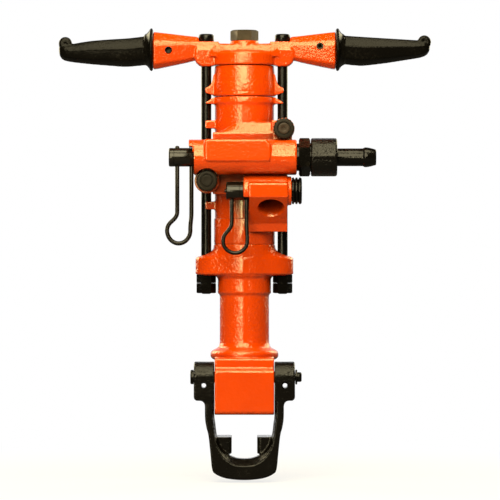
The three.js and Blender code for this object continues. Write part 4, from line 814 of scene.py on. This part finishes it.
# Handles: a steel tube in each arm of the backhead, pinned across it, and over the tube a black
# rubber grip moulded in two halves, with a hand guard flange and a hook for the hose at its end.
RUBBER = (0.0038, 0.0033, 0.0026)
WORN_RUBBER = (0.012, 0.01, 0.007)
rubber = Finish("moulded rubber")
leather = rubber.node("ShaderNodeTexVoronoi", {}, {"Vector": rubber.place, "Scale": 900})
scuffs = rubber.noise(260, 5)
bloom = rubber.noise(30, 4).between(0.45, 0.7) * scuffs.between(0.4, 0.7)
height = leather * 0.15 + scuffs * 0.8
tone = rubber.blend(bloom * 0.55, RUBBER, WORN_RUBBER)
black_rubber = rubber.surface(tone, 0.17 + bloom * 0.2, (0.5, 0.0009, height), {
    "Specular IOR Level": 0.11,
})

# Along each grip: place, then top, bottom and half width from the middle of the bar.
GRIPS = {
    "left": [
        (0, 21, -21.8, 21.6), (7, 20.6, -22, 21.4), (14, 20.1, -22.3, 21.2), (24, 18.9, -23.3, 21),
        (34, 17.8, -24.2, 20.7), (42, 17.2, -24.3, 20.4), (56, 16.3, -23.2, 19.4), (72, 15.1, -22, 18),
        (86, 13.8, -20.8, 16.8), (100, 11.6, -19.4, 15.6), (110, 9.6, -18.2, 14.8), (118, 8.8, -17, 14),
        (124, 8.6, -15.6, 12.8), (128, 8, -13, 10.8), (130.6, 6.6, -9, 7.8), (131.8, 4.4, -4, 4.2),
    ],
    "right": [
        (0, 22.2, -20.6, 21.6), (7, 21.8, -20.6, 21.4), (14, 21.3, -21, 21.2), (24, 20.6, -22.2, 21),
        (34, 20, -22.9, 20.7), (42, 19.4, -22.6, 20.4), (56, 18.4, -21, 19.4), (72, 17.3, -19, 18),
        (86, 16.3, -16.8, 16.8), (100, 15.3, -14.6, 15.6), (110, 14.6, -13, 14.8), (118, 14, -11.6, 14),
        (124, 13.4, -9.6, 12.8), (128, 12, -7, 10.8), (130.6, 10, -3, 7.8), (131.8, 7.2, 0.4, 4.2),
    ],
}
GRIP_START = 127.8
BAR_HOLE = 12.3
# The hook at a grip's end: its middle along the bar and above it, its reach and its girth.
HOOKS = {"left": (122.4, 8.4, 4.6, 5.4), "right": (123.6, 10.6, 4.8, 5.2)}
HOOK_TURNS = [-60 + 17.5 * step for step in range(15)]
HOOK_TAPER = 0.016  # share of its girth that a hook loses from one turn to the next
RIDGES = [math.radians(a) for a in (12, 62, 118, 168, 218, 270, 322, 372)]
SEAMS = (RIDGES[0], RIDGES[3])
SEAM_RISE = 0.025
SEAM_SHARPNESS = 18
FLATNESS = 0.78
SECTION_POINTS = 72
PIN_SINK = 18  # depth of the blind bore in each end of a pin
PIN_BORES = {"left": 3.6, "right": 2.8}
PIN_FINISHES = {"left": black_nut, "right": scaled_steel}
# Along the guard flange from the start of the grip: place and radius.
GUARD = [(0, 27), (0.4, 28.6), (1.4, 29.8), (2.8, 30), (4.4, 29), (6, 26), (8.5, 23), (12, 21.2)]


def grip_section(angle):
    """A point of the grip's section: an oval pressed towards seven flats, with two mould seams."""
    last = RIDGES[-2] - 2 * math.pi
    for ridge in RIDGES:
        if angle <= ridge:
            break
        last = ridge
    share = (angle - last) / (ridge - last)
    flat = [(1 - share) * f(last) + share * f(ridge) for f in (math.cos, math.sin)]
    seam = 1 + sum(SEAM_RISE * math.exp(-((angle - place) * SEAM_SHARPNESS) ** 2) for place in SEAMS)
    oval = (math.cos(angle), math.sin(angle))
    return [seam * (FLATNESS * f + (1 - FLATNESS) * o) for f, o in zip(flat, oval)]


def grip_ring(side, along, top, bottom, half):
    ring = []
    for angle in turns(SECTION_POINTS):
        across, up = grip_section(angle)
        z = ARM_Z + (top + bottom) / 2 + (top - bottom) / 2 * up
        ring.append((side * (GRIP_START + along), half * across, z))
    return ring


for hand, side in HANDS.items():
    core_low, core_high = span(f"handle_core_{hand}")
    inner, outer = sorted((abs(core_low.x), abs(core_high.x)))
    outer -= 10  # stops short of the thin end of the grip
    core = turned([
        (side * inner, 8), (side * inner, 11.5), (side * (inner + 0.6), 12), (side * (outer - 0.6), 12),
        (side * outer, 11.5), (side * outer, 8), (side * inner, 8),
    ], "X", (0, ARM_Z))
    cut(core, drill(-30, 30, PIN_HOLE, "Y", PINS[hand]))
    finished(core, f"handle_core_{hand}", scaled_steel, "tube")
    pin_low, pin_high = span(f"handle_pin_{hand}")
    bore = PIN_BORES[hand]
    pin_end = [(PIN_SINK, 0.4), (PIN_SINK, bore - 0.2), (0.3, bore), (0, 4.1), (0.5, 4.7)]
    profile = [(pin_low.y + along, radius) for along, radius in pin_end]
    profile += [(pin_high.y - along, radius) for along, radius in reversed(pin_end)]
    pin = turned(profile, "Y", PINS[hand], 48)
    finished(pin, f"handle_pin_{hand}", PIN_FINISHES[hand])

    palm_form = skin([grip_ring(side, *row) for row in GRIPS[hand]])
    flange = [(side * (GRIP_START + along), radius) for along, radius in GUARD]
    guard = turned(flange, "X", (0, ARM_Z))
    along, rise, reach, size = HOOKS[hand]
    claw = []
    for step, degrees in enumerate(HOOK_TURNS):
        turn = math.radians(degrees)
        x = side * (GRIP_START + along + reach * math.cos(turn))
        z = ARM_Z + rise + reach * math.sin(turn)
        girth = size * (1 - HOOK_TAPER * step)
        half_round = [(8, girth * 0.5), (7, girth * 0.85), (5, girth)]
        profile = [(-depth, radius) for depth, radius in half_round] + half_round[::-1]
        claw.append(turned(profile, "Y", (x, z), 24))
    grip = cast([palm_form, guard, *claw], passes=4)
    cut(grip, drill(side * 120, side * (outer + 1), BAR_HOLE, "X", (0, ARM_Z)))
    finished(grip, f"grip_{hand}", black_rubber, "rubber")

# Throttle valve body: an iron casting bolted to the chest of the cylinder by two cap screws. It
# holds the throttle valve in a cross bore, and the air inlet is screwed into its right end.
THROTTLE_LINE = (VALVE_Y, THROTTLE_Z)
BODY_BACK = -50.3
EAR_FACE = -64.3
DRUM = 24.5
BASE = 23  # half height of the base behind the drum
PAD_BACK, PAD_FRONT = -60, -96.5
PAD_LEFT, PAD_RIGHT = -55, 36.7
PAD_LOW, PAD_HIGH = THROTTLE_Z - 6.6, THROTTLE_Z + 24.5
PORT = (21, THROTTLE_Z)  # the way from the throttle into the chest
PORT_HOLE = 7


def block(low, high):
    """A plain box between two corners."""
    line = [(low[1], low[2]), (high[1], low[2]), (high[1], high[2]), (low[1], high[2])]
    return plate(line, "X", low[0], high[0])


def pad_ring(depth, inset):
    """The outline of the raised pad on the valve body, drawn in a little towards its face."""
    left, right = PAD_LEFT + inset, PAD_RIGHT - inset
    low, high = PAD_LOW + inset, PAD_HIGH - inset
    line = arcs([
        (left, low, 4), (right, low, 4), (right, high - 6, 2), (right - 6, high, 2), (left, high, 3),
    ], 4)
    return [(u, depth, v) for u, v in line]


lip = [polar(THROTTLE_LINE, DRUM, math.radians(degrees)) for degrees in range(33, 148, 5)]
low_x, low_z = LOWER_SCREW
high_x, high_z = UPPER_SCREW
drum = turned([
    (-71.3, 22.6), (-70.8, 23.8), (-69.8, DRUM), (70.4, DRUM), (71.8, 23.8), (72.5, 22.4),
], "X", THROTTLE_LINE)
pad = skin([pad_ring(PAD_BACK, 0), pad_ring(PAD_FRONT + 2.2, 0), pad_ring(PAD_FRONT, 1.6)])
base = block((-66, VALVE_Y, THROTTLE_Z - BASE), (58, BODY_BACK, THROTTLE_Z + BASE))
lower_ear = turned([(EAR_FACE, 17.3), (BODY_BACK, 17.3)], "Y", LOWER_SCREW)
upper_ear = turned([(EAR_FACE, 15), (BODY_BACK, 15)], "Y", UPPER_SCREW)
upper_web = block((high_x - 15, EAR_FACE, THROTTLE_Z), (66, BODY_BACK, high_z))
lower_web = block((low_x - 14, EAR_FACE, low_z), (low_x + 17, BODY_BACK, THROTTLE_Z))
valve_body = cast([
    drum, plate(lip, "X", -76.6, -66), pad, base, lower_ear, upper_ear, upper_web, lower_web,
], passes=3)
cut(valve_body, block((-90, BODY_BACK, 290), (90, BODY_BACK + 20, 430)))
cut(valve_body, *[turned([(EAR_FACE, 16.6), (-103, 17.2)], "Y", spot) for spot in SCREWS])
cut(valve_body, *[drill(EAR_FACE - 2, -45, SCREW_HOLE, "Y", spot) for spot in SCREWS])
throttle_seat = [(-82, 13.3), (47, 13.3), (47.01, 9.6), (53, 9.6), (53.01, 17), (75, 17)]
cut(valve_body, turned(throttle_seat, "X", THROTTLE_LINE))
cut(valve_body, drill(-70, -45, PORT_HOLE, "Y", PORT))
cut(valve_body, lever_room(THROTTLE_LINE, 27.5, 109, -76.2, -69.1))
finished(valve_body, "valve_body", paint, "casting")

# Cap screws: two large serrated caps that hold the valve body to the cylinder. A disc is staked
# into each: browned brass in the upper one, with a small hole, and blacked steel in the lower.
CAP_BROWN = (0.022, 0.018, 0.013)
CAP_WORN = (0.055, 0.044, 0.03)
DISC_BROWN = (0.018, 0.0145, 0.0105)
DISC_WORN = (0.05, 0.04, 0.026)
BRASS = (0.05, 0.034, 0.024)
BRASS_WORN = (0.13, 0.085, 0.055)
cap_steel = blacked("cap screw steel", CAP_BROWN, CAP_WORN, 0.3, 0.9, 260, 0.1)
dark_disc = blacked("staked disc steel", DISC_BROWN, DISC_WORN, 0.3, 0.8, 190, 0.1)
aged_brass = blacked("aged brass", BRASS, BRASS_WORN, 0.3, 0.7, 190, 0.15)
CAP_BACK = EAR_FACE - 0.3
CAP_FRONT = -80.1
TEETH = 18
TOOTH_DEPTH = 1.3
TOOTHED_SIDES = 216
# Along a cap: place, radius and share of the teeth's full depth.
CAP = [
    (CAP_BACK, 13.6, 0), (CAP_BACK - 0.8, 14.6, 0.4), (CAP_BACK - 1.6, 14.85, 1),
    (CAP_FRONT + 2.4, 14.85, 1), (CAP_FRONT + 1, 14.3, 0.5), (CAP_FRONT + 0.3, 13.2, 0),
    (CAP_FRONT, 12.2, 0), (CAP_FRONT, 9.5, 0), (CAP_FRONT + 0.3, 9.2, 0), (CAP_FRONT + 2.2, 8.9, 0),
]
# For each screw: its place, its disc's finish and slot, and the hole: depth and radius.
DISCS = {
    "upper": (UPPER_SCREW, aged_brass, "bronze", [(0.25, 2.6), (0.5, 2.2), (1.1, 2.1)]),
    "lower": (LOWER_SCREW, dark_disc, "dark_steel", []),
}


def toothed_ring(spot, along, radius, share):
    """A ring round a screw, with teeth cut into it."""
    ring = []
    for angle in turns(TOOTHED_SIDES):
        wave = 0.5 - 0.5 * math.cos(TEETH * angle)
        reach = radius - TOOTH_DEPTH * share * (1 - wave ** 0.5)
        ring.append(placed("Y", along, *polar(spot, reach, angle)))
    return ring


for name, (spot, disc_finish, disc_slot, hole) in DISCS.items():
    node = f"valve_body_screw_{name}"
    cap = skin([toothed_ring(spot, *row) for row in CAP])
    shank = turned([(CAP_BACK + 1, 6), (-23, 6), (-22, 5)], "Y", spot)
    screw = together([cap, shank])
    finished(screw, node, cap_steel, crease=30)
    disc_low, disc_high = span(f"screw_disc_{name}")
    back, front = disc_high.y, disc_low.y
    rows = [
        (back, 7.2), (back - 0.4, 7.8), (front + 0.5, 7.8), (front + 0.12, 7.3), (front, 6.2),
        (front + 0.15, 4.6), *[(front + depth, radius) for depth, radius in hole],
    ]
    disc = turned(rows, "Y", spot)
    finished(disc, f"screw_disc_{name}", disc_finish, "face", crease=50)

# Throttle valve: a ground steel spindle that turns in the valve body and sends the air on to the
# cylinder. Its lever is a bent black wire, whose ends pass through two holes across the spindle.
SPINDLE_BLACK = (0.008, 0.0065, 0.0045)
SPINDLE_WORN = (0.03, 0.025, 0.018)
WIRE_BLACK = (0.008, 0.0065, 0.005)
WIRE_WORN = (0.05, 0.042, 0.03)
ground_steel = steel("ground spindle steel", SPINDLE_BLACK, SPINDLE_WORN, 0.05, 0.06, "X", 0.2, 0.45)
wire_finish = blacked("blacked wire", WIRE_BLACK, WIRE_WORN, 0.16, 0.1, 300)
THROTTLE_LEGS = (-92.7, -73.1)
WIRE_TAIL = 9  # how far the right leg ends above the spindle's axis
WIRE_BEND = 13
WIRE_SIDES = 24
# At the start of a wire: place along it and girth, both as shares of its radius.
WIRE_END = [(0, 0.55), (0.3, 0.9), (0.6, 1)]
QUARTER = 0.5523  # share of a quarter round's radius that its curve's handles take
CURVE_STEPS = 14


def leg_holes(legs, height, radius):
    """The holes across a spindle that the legs of its lever pass through."""
    return [drill(height - 20, height + 20, radius, "Z", (x, VALVE_Y), 40) for x in legs]


def bent_wire(radius, legs, top, straight, loop, height):
    """A lever of round wire: down its left leg, round a wide loop and up its right leg."""
    left, right = legs
    loop_left, loop_right, drop, bottom = loop
    middle = (loop_left + loop_right) / 2
    reach = QUARTER * (loop_right - middle)
    low = -drop - QUARTER * (bottom - drop)
    knee = -straight - WIRE_BEND
    shoulder = WIRE_BEND - drop
    curves = [
        [(left, -straight), (left, knee), (loop_left, shoulder), (loop_left, -drop)],
        [(loop_left, -drop), (loop_left, low), (middle - reach, -bottom), (middle, -bottom)],
        [(middle, -bottom), (middle + reach, -bottom), (loop_right, low), (loop_right, -drop)],
        [(loop_right, -drop), (loop_right, shoulder), (right, knee), (right, -straight)],
    ]
    line = [Vector((left, top)), Vector((left, -straight))]
    for corners in curves:
        a, b, c, d = [Vector(corner) for corner in corners]
        for step in range(1, CURVE_STEPS + 1):
            t = step / CURVE_STEPS
            s = 1 - t
            line.append(a * s ** 3 + b * 3 * t * s ** 2 + c * 3 * t * t * s + d * t ** 3)
    line.append(Vector((right, WIRE_TAIL)))
    rings = []
    for i, spot in enumerate(line):
        ahead = line[min(i + 1, len(line) - 1)] - line[max(i - 1, 0)]
        across = Vector((-ahead.y, ahead.x)).normalized()
        rounds = [(0, 1)]
        if i == 0:
            rounds = WIRE_END
        elif i == len(line) - 1:
            rounds = [(-slide, girth) for slide, girth in reversed(WIRE_END)]
        for slide, girth in rounds:
            centre = spot + ahead.normalized() * radius * slide
            ring = []
            for turn in turns(WIRE_SIDES):
                flat = centre + across * radius * girth * math.cos(turn)
                ring.append((flat.x, VALVE_Y + radius * girth * math.sin(turn), height + flat.y))
            rings.append(ring)
    return skin(rings)


spindle = turned([
    (-104.4, 8.6), (-104.3, 11.6), (-103.9, 12.3), (-103.2, 12.8), (-102.4, 12.95), (-97.6, 12.95),
    (-97.3, 12.6), (-96.9, 12.6), (-96.6, 12.95), (-69, 12.95), (-68.5, 12.6), (-67.9, 12.6),
    (-67.4, 12.95), (43, 12.95), (43.7, 12.6), (44, 12), (44, 8.5), (10, 8.5), (8, 6), (8, 2),
], "X", THROTTLE_LINE)
window = drill(VALVE_Y, VALVE_Y + 20, PORT_HOLE, "Y", PORT, 48)
cut(spindle, *leg_holes(THROTTLE_LEGS, THROTTLE_Z, 3.4), window)
finished(spindle, "throttle_valve", ground_steel, "spindle", body="throttle")
throttle_loop = (-106.7, -74.6, 100.9, 119)
throttle_wire = bent_wire(3, THROTTLE_LEGS, 15.7, 75, throttle_loop, THROTTLE_Z)
finished(throttle_wire, "throttle_lever", wire_finish, "wire", body="throttle", crease=60)

# Blow valve: a smaller spindle below the throttle, in the boss of the exhaust block, with a wire
# lever of its own. It sends air down the middle of the steel to clear the hole.
BLOW_LEGS = (-17.3, 3.1)
blow_spindle = turned([
    (-27.6, 1.6), (-27.5, 2.2), (-27, 2.5), (-25.3, 2.6), (-25.2, 10.8), (-24.9, 11.8), (-24.2, 12.4),
    (-23.4, 12.6), (-7.2, 12.6), (-6.8, 12.2), (-6.2, 12.2), (-5.8, 12.6), (10, 12.6), (10.7, 12.2),
    (10.7, 9), (49.4, 9), (50, 8.4),
], "X", BLOW_LINE)
cut(blow_spindle, *leg_holes(BLOW_LEGS, blow_z, 3.1))
finished(blow_spindle, "blow_valve", ground_steel, "spindle", body="blow")
blow_wire = bent_wire(2.75, BLOW_LEGS, 11, 43, (-29.3, 4, 69.5, 86), blow_z)
finished(blow_wire, "blow_lever", wire_finish, "wire", body="blow", crease=60)

# Blow valve plug: a black plug with three ribs to grip, screwed into the flange beside the port.
FLANGE_FACE = 65.5
PITCH = 4.67
RIB = [
    (0.7, 18.3), (1.3, 18.5), (PITCH - 2.1, 18.5), (PITCH - 1.5, 18.2), (PITCH - 1.1, 16.4),
    (PITCH - 0.4, 16.1),
]
plug_low, plug_high = span("blow_valve_plug")
ribs = [(FLANGE_FACE + rib * PITCH + along, radius) for rib in range(3) for along, radius in RIB]
blow_plug = turned([
    (plug_low.x, 13.6), (plug_low.x + 1, 14.5), (FLANGE_FACE, 14.5), (FLANGE_FACE + 0.1, 17.4),
    (FLANGE_FACE + 0.5, 18), *ribs[:-2], (plug_high.x - 0.4, 17.2), (plug_high.x, 15.4), (plug_high.x, 7),
    (plug_high.x - 1.4, 6.4),
], "X", BLOW_LINE)
finished(blow_plug, "blow_valve_plug", black_nut, crease=32)

# Air inlet: a hexagon nipple in the right end of the valve body, a rough cast union sleeve over
# its end, and the stem for the hose, which the sleeve holds by its flange and lets swivel.
IRON_BLACK = (0.0045, 0.0037, 0.0028)
IRON_WORN = (0.014, 0.011, 0.0075)
NIPPLE_FLATS = 46
AIRWAY = 9.5
cast_black = blacked("cast black iron", IRON_BLACK, IRON_WORN, 0.09, 1.2, 330)
nipple_low, nipple_high = span("inlet_nut")
nipple = together([
    hexagon(NIPPLE_FLATS, 75.2, 90.9, 1.6, 1.6, "X", THROTTLE_LINE, 30),
    turned([
        (nipple_low.x, AIRWAY), (nipple_low.x, 15.9), (nipple_low.x + 0.9, 16.7), (72.6, 16.7),
        (72.7, 19), (75.6, 19), (90.6, 19.9), (103.4, 19.9), (nipple_high.x, 19.2),
        (nipple_high.x, AIRWAY), (nipple_low.x, AIRWAY),
    ], "X", THROTTLE_LINE),
])
cut(nipple, drill(nipple_low.x - 2, nipple_high.x + 2, AIRWAY + 0.01, "X", THROTTLE_LINE))
finished(eased(nipple, 0.4), "inlet_nut", black_nut, crease=28)

union = turned([
    (91.7, 20.4), (91.7, 24.8), (92.3, 26), (93.6, 26.5), (125.4, 26.5), (127, 26.1), (128.1, 24.4),
    (128.1, 12.7), (114.3, 12.7), (114.3, 20.4), (91.7, 20.4),
], "X", THROTTLE_LINE)
sleeve = cast([union], passes=3, cell=1.1 * FINE)
finished(sleeve, "swivel_sleeve", cast_black, "casting", crease=60)

hose_stem = turned([
    (104.3, 8.5), (104.3, 19.2), (104.8, 19.7), (113.4, 19.7), (114, 19.2), (114, 12.3), (163.4, 12.3),
    (165, 13.1), (166, 13.7), (168, 13.8), (170.6, 13.6), (176, 12.4), (179.6, 11.4), (181.2, 10.9),
    (181.9, 10.2), (182, 9.6), (182, 8.5), (104.3, 8.5),
], "X", THROTTLE_LINE)
finished(hose_stem, "hose_stem", black_nut, body="stem", crease=35)

# Retainer: a black cast yoke that swings on the bolt and holds the drill steel in the chuck. Its
# arms close into a U, and a fork reaches back from them under the collar of the steel.
HALF_WIDTH = 54.6
DROP = 90.4
HUB_IN, HUB_OUT = 41.9, 70.1
SLOT = 17.8
SPRING_PIN = (56.3, 40.6)
OUTLINE_STEPS = 5
bolt_y, bolt_z = BOLT_LINE
# Down the yoke and down its opening: shares of the half width and of the drop.
OUTER = [
    (1, 0.3), (1, -0.03), (0.965, -0.187), (0.91, -0.324), (0.86, -0.6), (0.82, -0.826), (0.74, -0.905),
    (0.46, -0.975), (0, -1),
]
INNER = [
    (0.765, 0.3), (0.765, -0.02), (0.745, -0.12), (0.7, -0.324), (0.61, -0.48), (0.44, -0.6),
    (0.22, -0.665), (0, -0.679),
]


def yoke_line(shares, grow=0):
    """A smooth outline of the yoke, left and right of its middle, through a table of shares."""
    half = []
    for u, v in shares:
        drop = DROP + (1.5 * grow if v < 0 else 0)
        half.append(Vector((u * (HALF_WIDTH + grow / 3), v * drop)))
    path = [half[0], *half, Vector((-half[-2].x, half[-2].y))]
    line = []
    for before, start, end, after in zip(path, path[1:], path[2:], path[3:]):
        for step in range(OUTLINE_STEPS):
            t = step / OUTLINE_STEPS
            point = 2 * start + (end - before) * t
            point += (2 * before - 5 * start + 4 * end - after) * t * t
            point += (3 * start - before - 3 * end + after) * t ** 3
            line.append(0.5 * point)
    line.append(half[-1])
    return [tuple(p) for p in line] + [(-p.x, p.y) for p in reversed(line[:-1])]


def yoke_ring(line, depth, share=1):
    """An outline at a depth in front of the drill's axis, and at a share of its size."""
    return [(u * share, -depth, v * share) for u, v in line]


outer_line = yoke_line(OUTER)
inner_line = yoke_line(INNER)
wide_line = yoke_line(INNER, 9.5)
yoke = skin([
    yoke_ring(outer_line, 61, 0.985), yoke_ring(outer_line, 59.2), yoke_ring(outer_line, 27.5),
    yoke_ring(outer_line, 26, 0.99),
])
opening = HALF_WIDTH * INNER[0][0]
cut(yoke, plate([*inner_line, (-opening, 60), (opening, 60)], "Y", -64, -20))
cut(yoke, skin([
    yoke_ring(inner_line, 46), yoke_ring(wide_line, 61), yoke_ring(wide_line, 64),
]))
HUB = [(HUB_IN, 21.4), (HUB_OUT - 1.6, 21.6), (HUB_OUT - 0.6, 20.6), (HUB_OUT, 19)]
EAR = arcs([(HUB_IN, 19.5), (HUB_OUT, 19.5, 5), (HUB_OUT, bolt_z), (HUB_IN, bolt_z)], 5)
FILLET = [(50, 24), (62, 24), (62, 19.5), (58, 18.6), (55.4, 15.5), (54.4, 10), (50, 8)]
PRONG = arcs([(SLOT, -46, 5.4), (SLOT, 19, 6), (HUB_IN, 19, 10), (HUB_IN, -46)], 6)
pieces = [yoke]
for side in SIDES:
    pieces.append(turned([(side * along, radius) for along, radius in HUB], "X", BOLT_LINE))
    for outline, axis, low, high in (
        (EAR, "Y", -62.2, -23.5),
        (FILLET, "Y", -59, -28),
        (PRONG, "Z", -54.6, -31.4),
    ):
        pieces.append(plate([(side * u, v) for u, v in outline], axis, low, high))
retainer = cast(pieces, passes=4)
for side in SIDES:
    spot = (side * SPRING_PIN[0], SPRING_PIN[1])
    cut(retainer, drill(-66, 22, 3.3, "Y", spot, 48))
    cut(retainer, turned([(-66, 5.4), (-61, 5.2)], "Y", spot, 48))
cut(retainer, drill(-74, 74, 8.35, "X", BOLT_LINE))
finished(retainer, "retainer", cast_black, "casting", body="retainer", crease=50)

# Retainer bolt: a headed pin through the block and both hubs, which the yoke swings on. A snap
# ring in a groove near its right end keeps it in.
bolt_low, bolt_high = span("retainer_bolt")
bolt = turned([
    (bolt_low.x, 8.6), (bolt_low.x + 0.5, 9.6), (bolt_low.x + 1.2, 10), (-70.7, 10), (-70.5, 9.6),
    (-70.4, 8), (70.4, 8), (70.5, 5.2), (73.3, 5.2), (73.4, 6.4), (73.8, 6.8), (77.6, 6.8), (78.6, 6.4),
    (bolt_high.x, 5.6), (bolt_high.x, 2.2), (bolt_high.x - 0.9, 1),
], "X", BOLT_LINE)
finished(bolt, "retainer_bolt", black_nut)
clip_low, clip_high = span("retainer_snap_ring")
clip = turned([
    (clip_low.x, 5.6), (clip_low.x, 9.8), (clip_low.x + 0.4, 10.4), (clip_high.x - 0.4, 10.4),
    (clip_high.x, 9.8), (clip_high.x, 5.6), (clip_low.x, 5.6),
], "X", BOLT_LINE)
gap_low = (clip_low.x - 2, bolt_y - 1.6, bolt_z - 16)
gap_high = (clip_high.x + 2, bolt_y + 1.6, bolt_z)
cut(clip, block(gap_low, gap_high))
finished(clip, "retainer_snap_ring", black_nut)

# Inside pieces: ground and hardened steel for what strikes, turns or slides, and bronze for the
# bushing, the rifle nut and the washer that carry the wear. They show through the chuck and port.
GROUND = (0.34, 0.33, 0.31)
GROUND_BRIGHT = (0.62, 0.6, 0.56)
HARDENED = (0.2, 0.19, 0.175)
HARDENED_BRIGHT = (0.5, 0.48, 0.44)
BRONZE = (0.34, 0.19, 0.075)
BRONZE_BRIGHT = (0.66, 0.44, 0.2)
ground = steel("ground tool steel", GROUND, GROUND_BRIGHT, 0.95, 0.26, relief=0.3)
hardened = steel("hardened steel", HARDENED, HARDENED_BRIGHT, 0.95, 0.32, relief=0.4)
bronze = steel("bearing bronze", BRONZE, BRONZE_BRIGHT, 0.95, 0.34, relief=0.4)
INSIDE = {
    "front_head_bush": bronze, "rifle_nut": bronze, "thrust_washer": bronze,
    "chuck": hardened, "chuck_bushing": ground, "chuck_driver": hardened, "piston": ground,
    "rifle_bar": ground, "pawl_1": hardened, "pawl_2": hardened, "pawl_3": hardened,
    "pawl_4": hardened, "ratchet_ring": hardened, "valve_chest": hardened,
    "valve_cover": hardened, "automatic_valve": ground, "blow_tube": ground,
}
for node, finish in INSIDE.items():
    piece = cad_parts[node]
    for slot in piece.material_slots:
        slot.material = finish
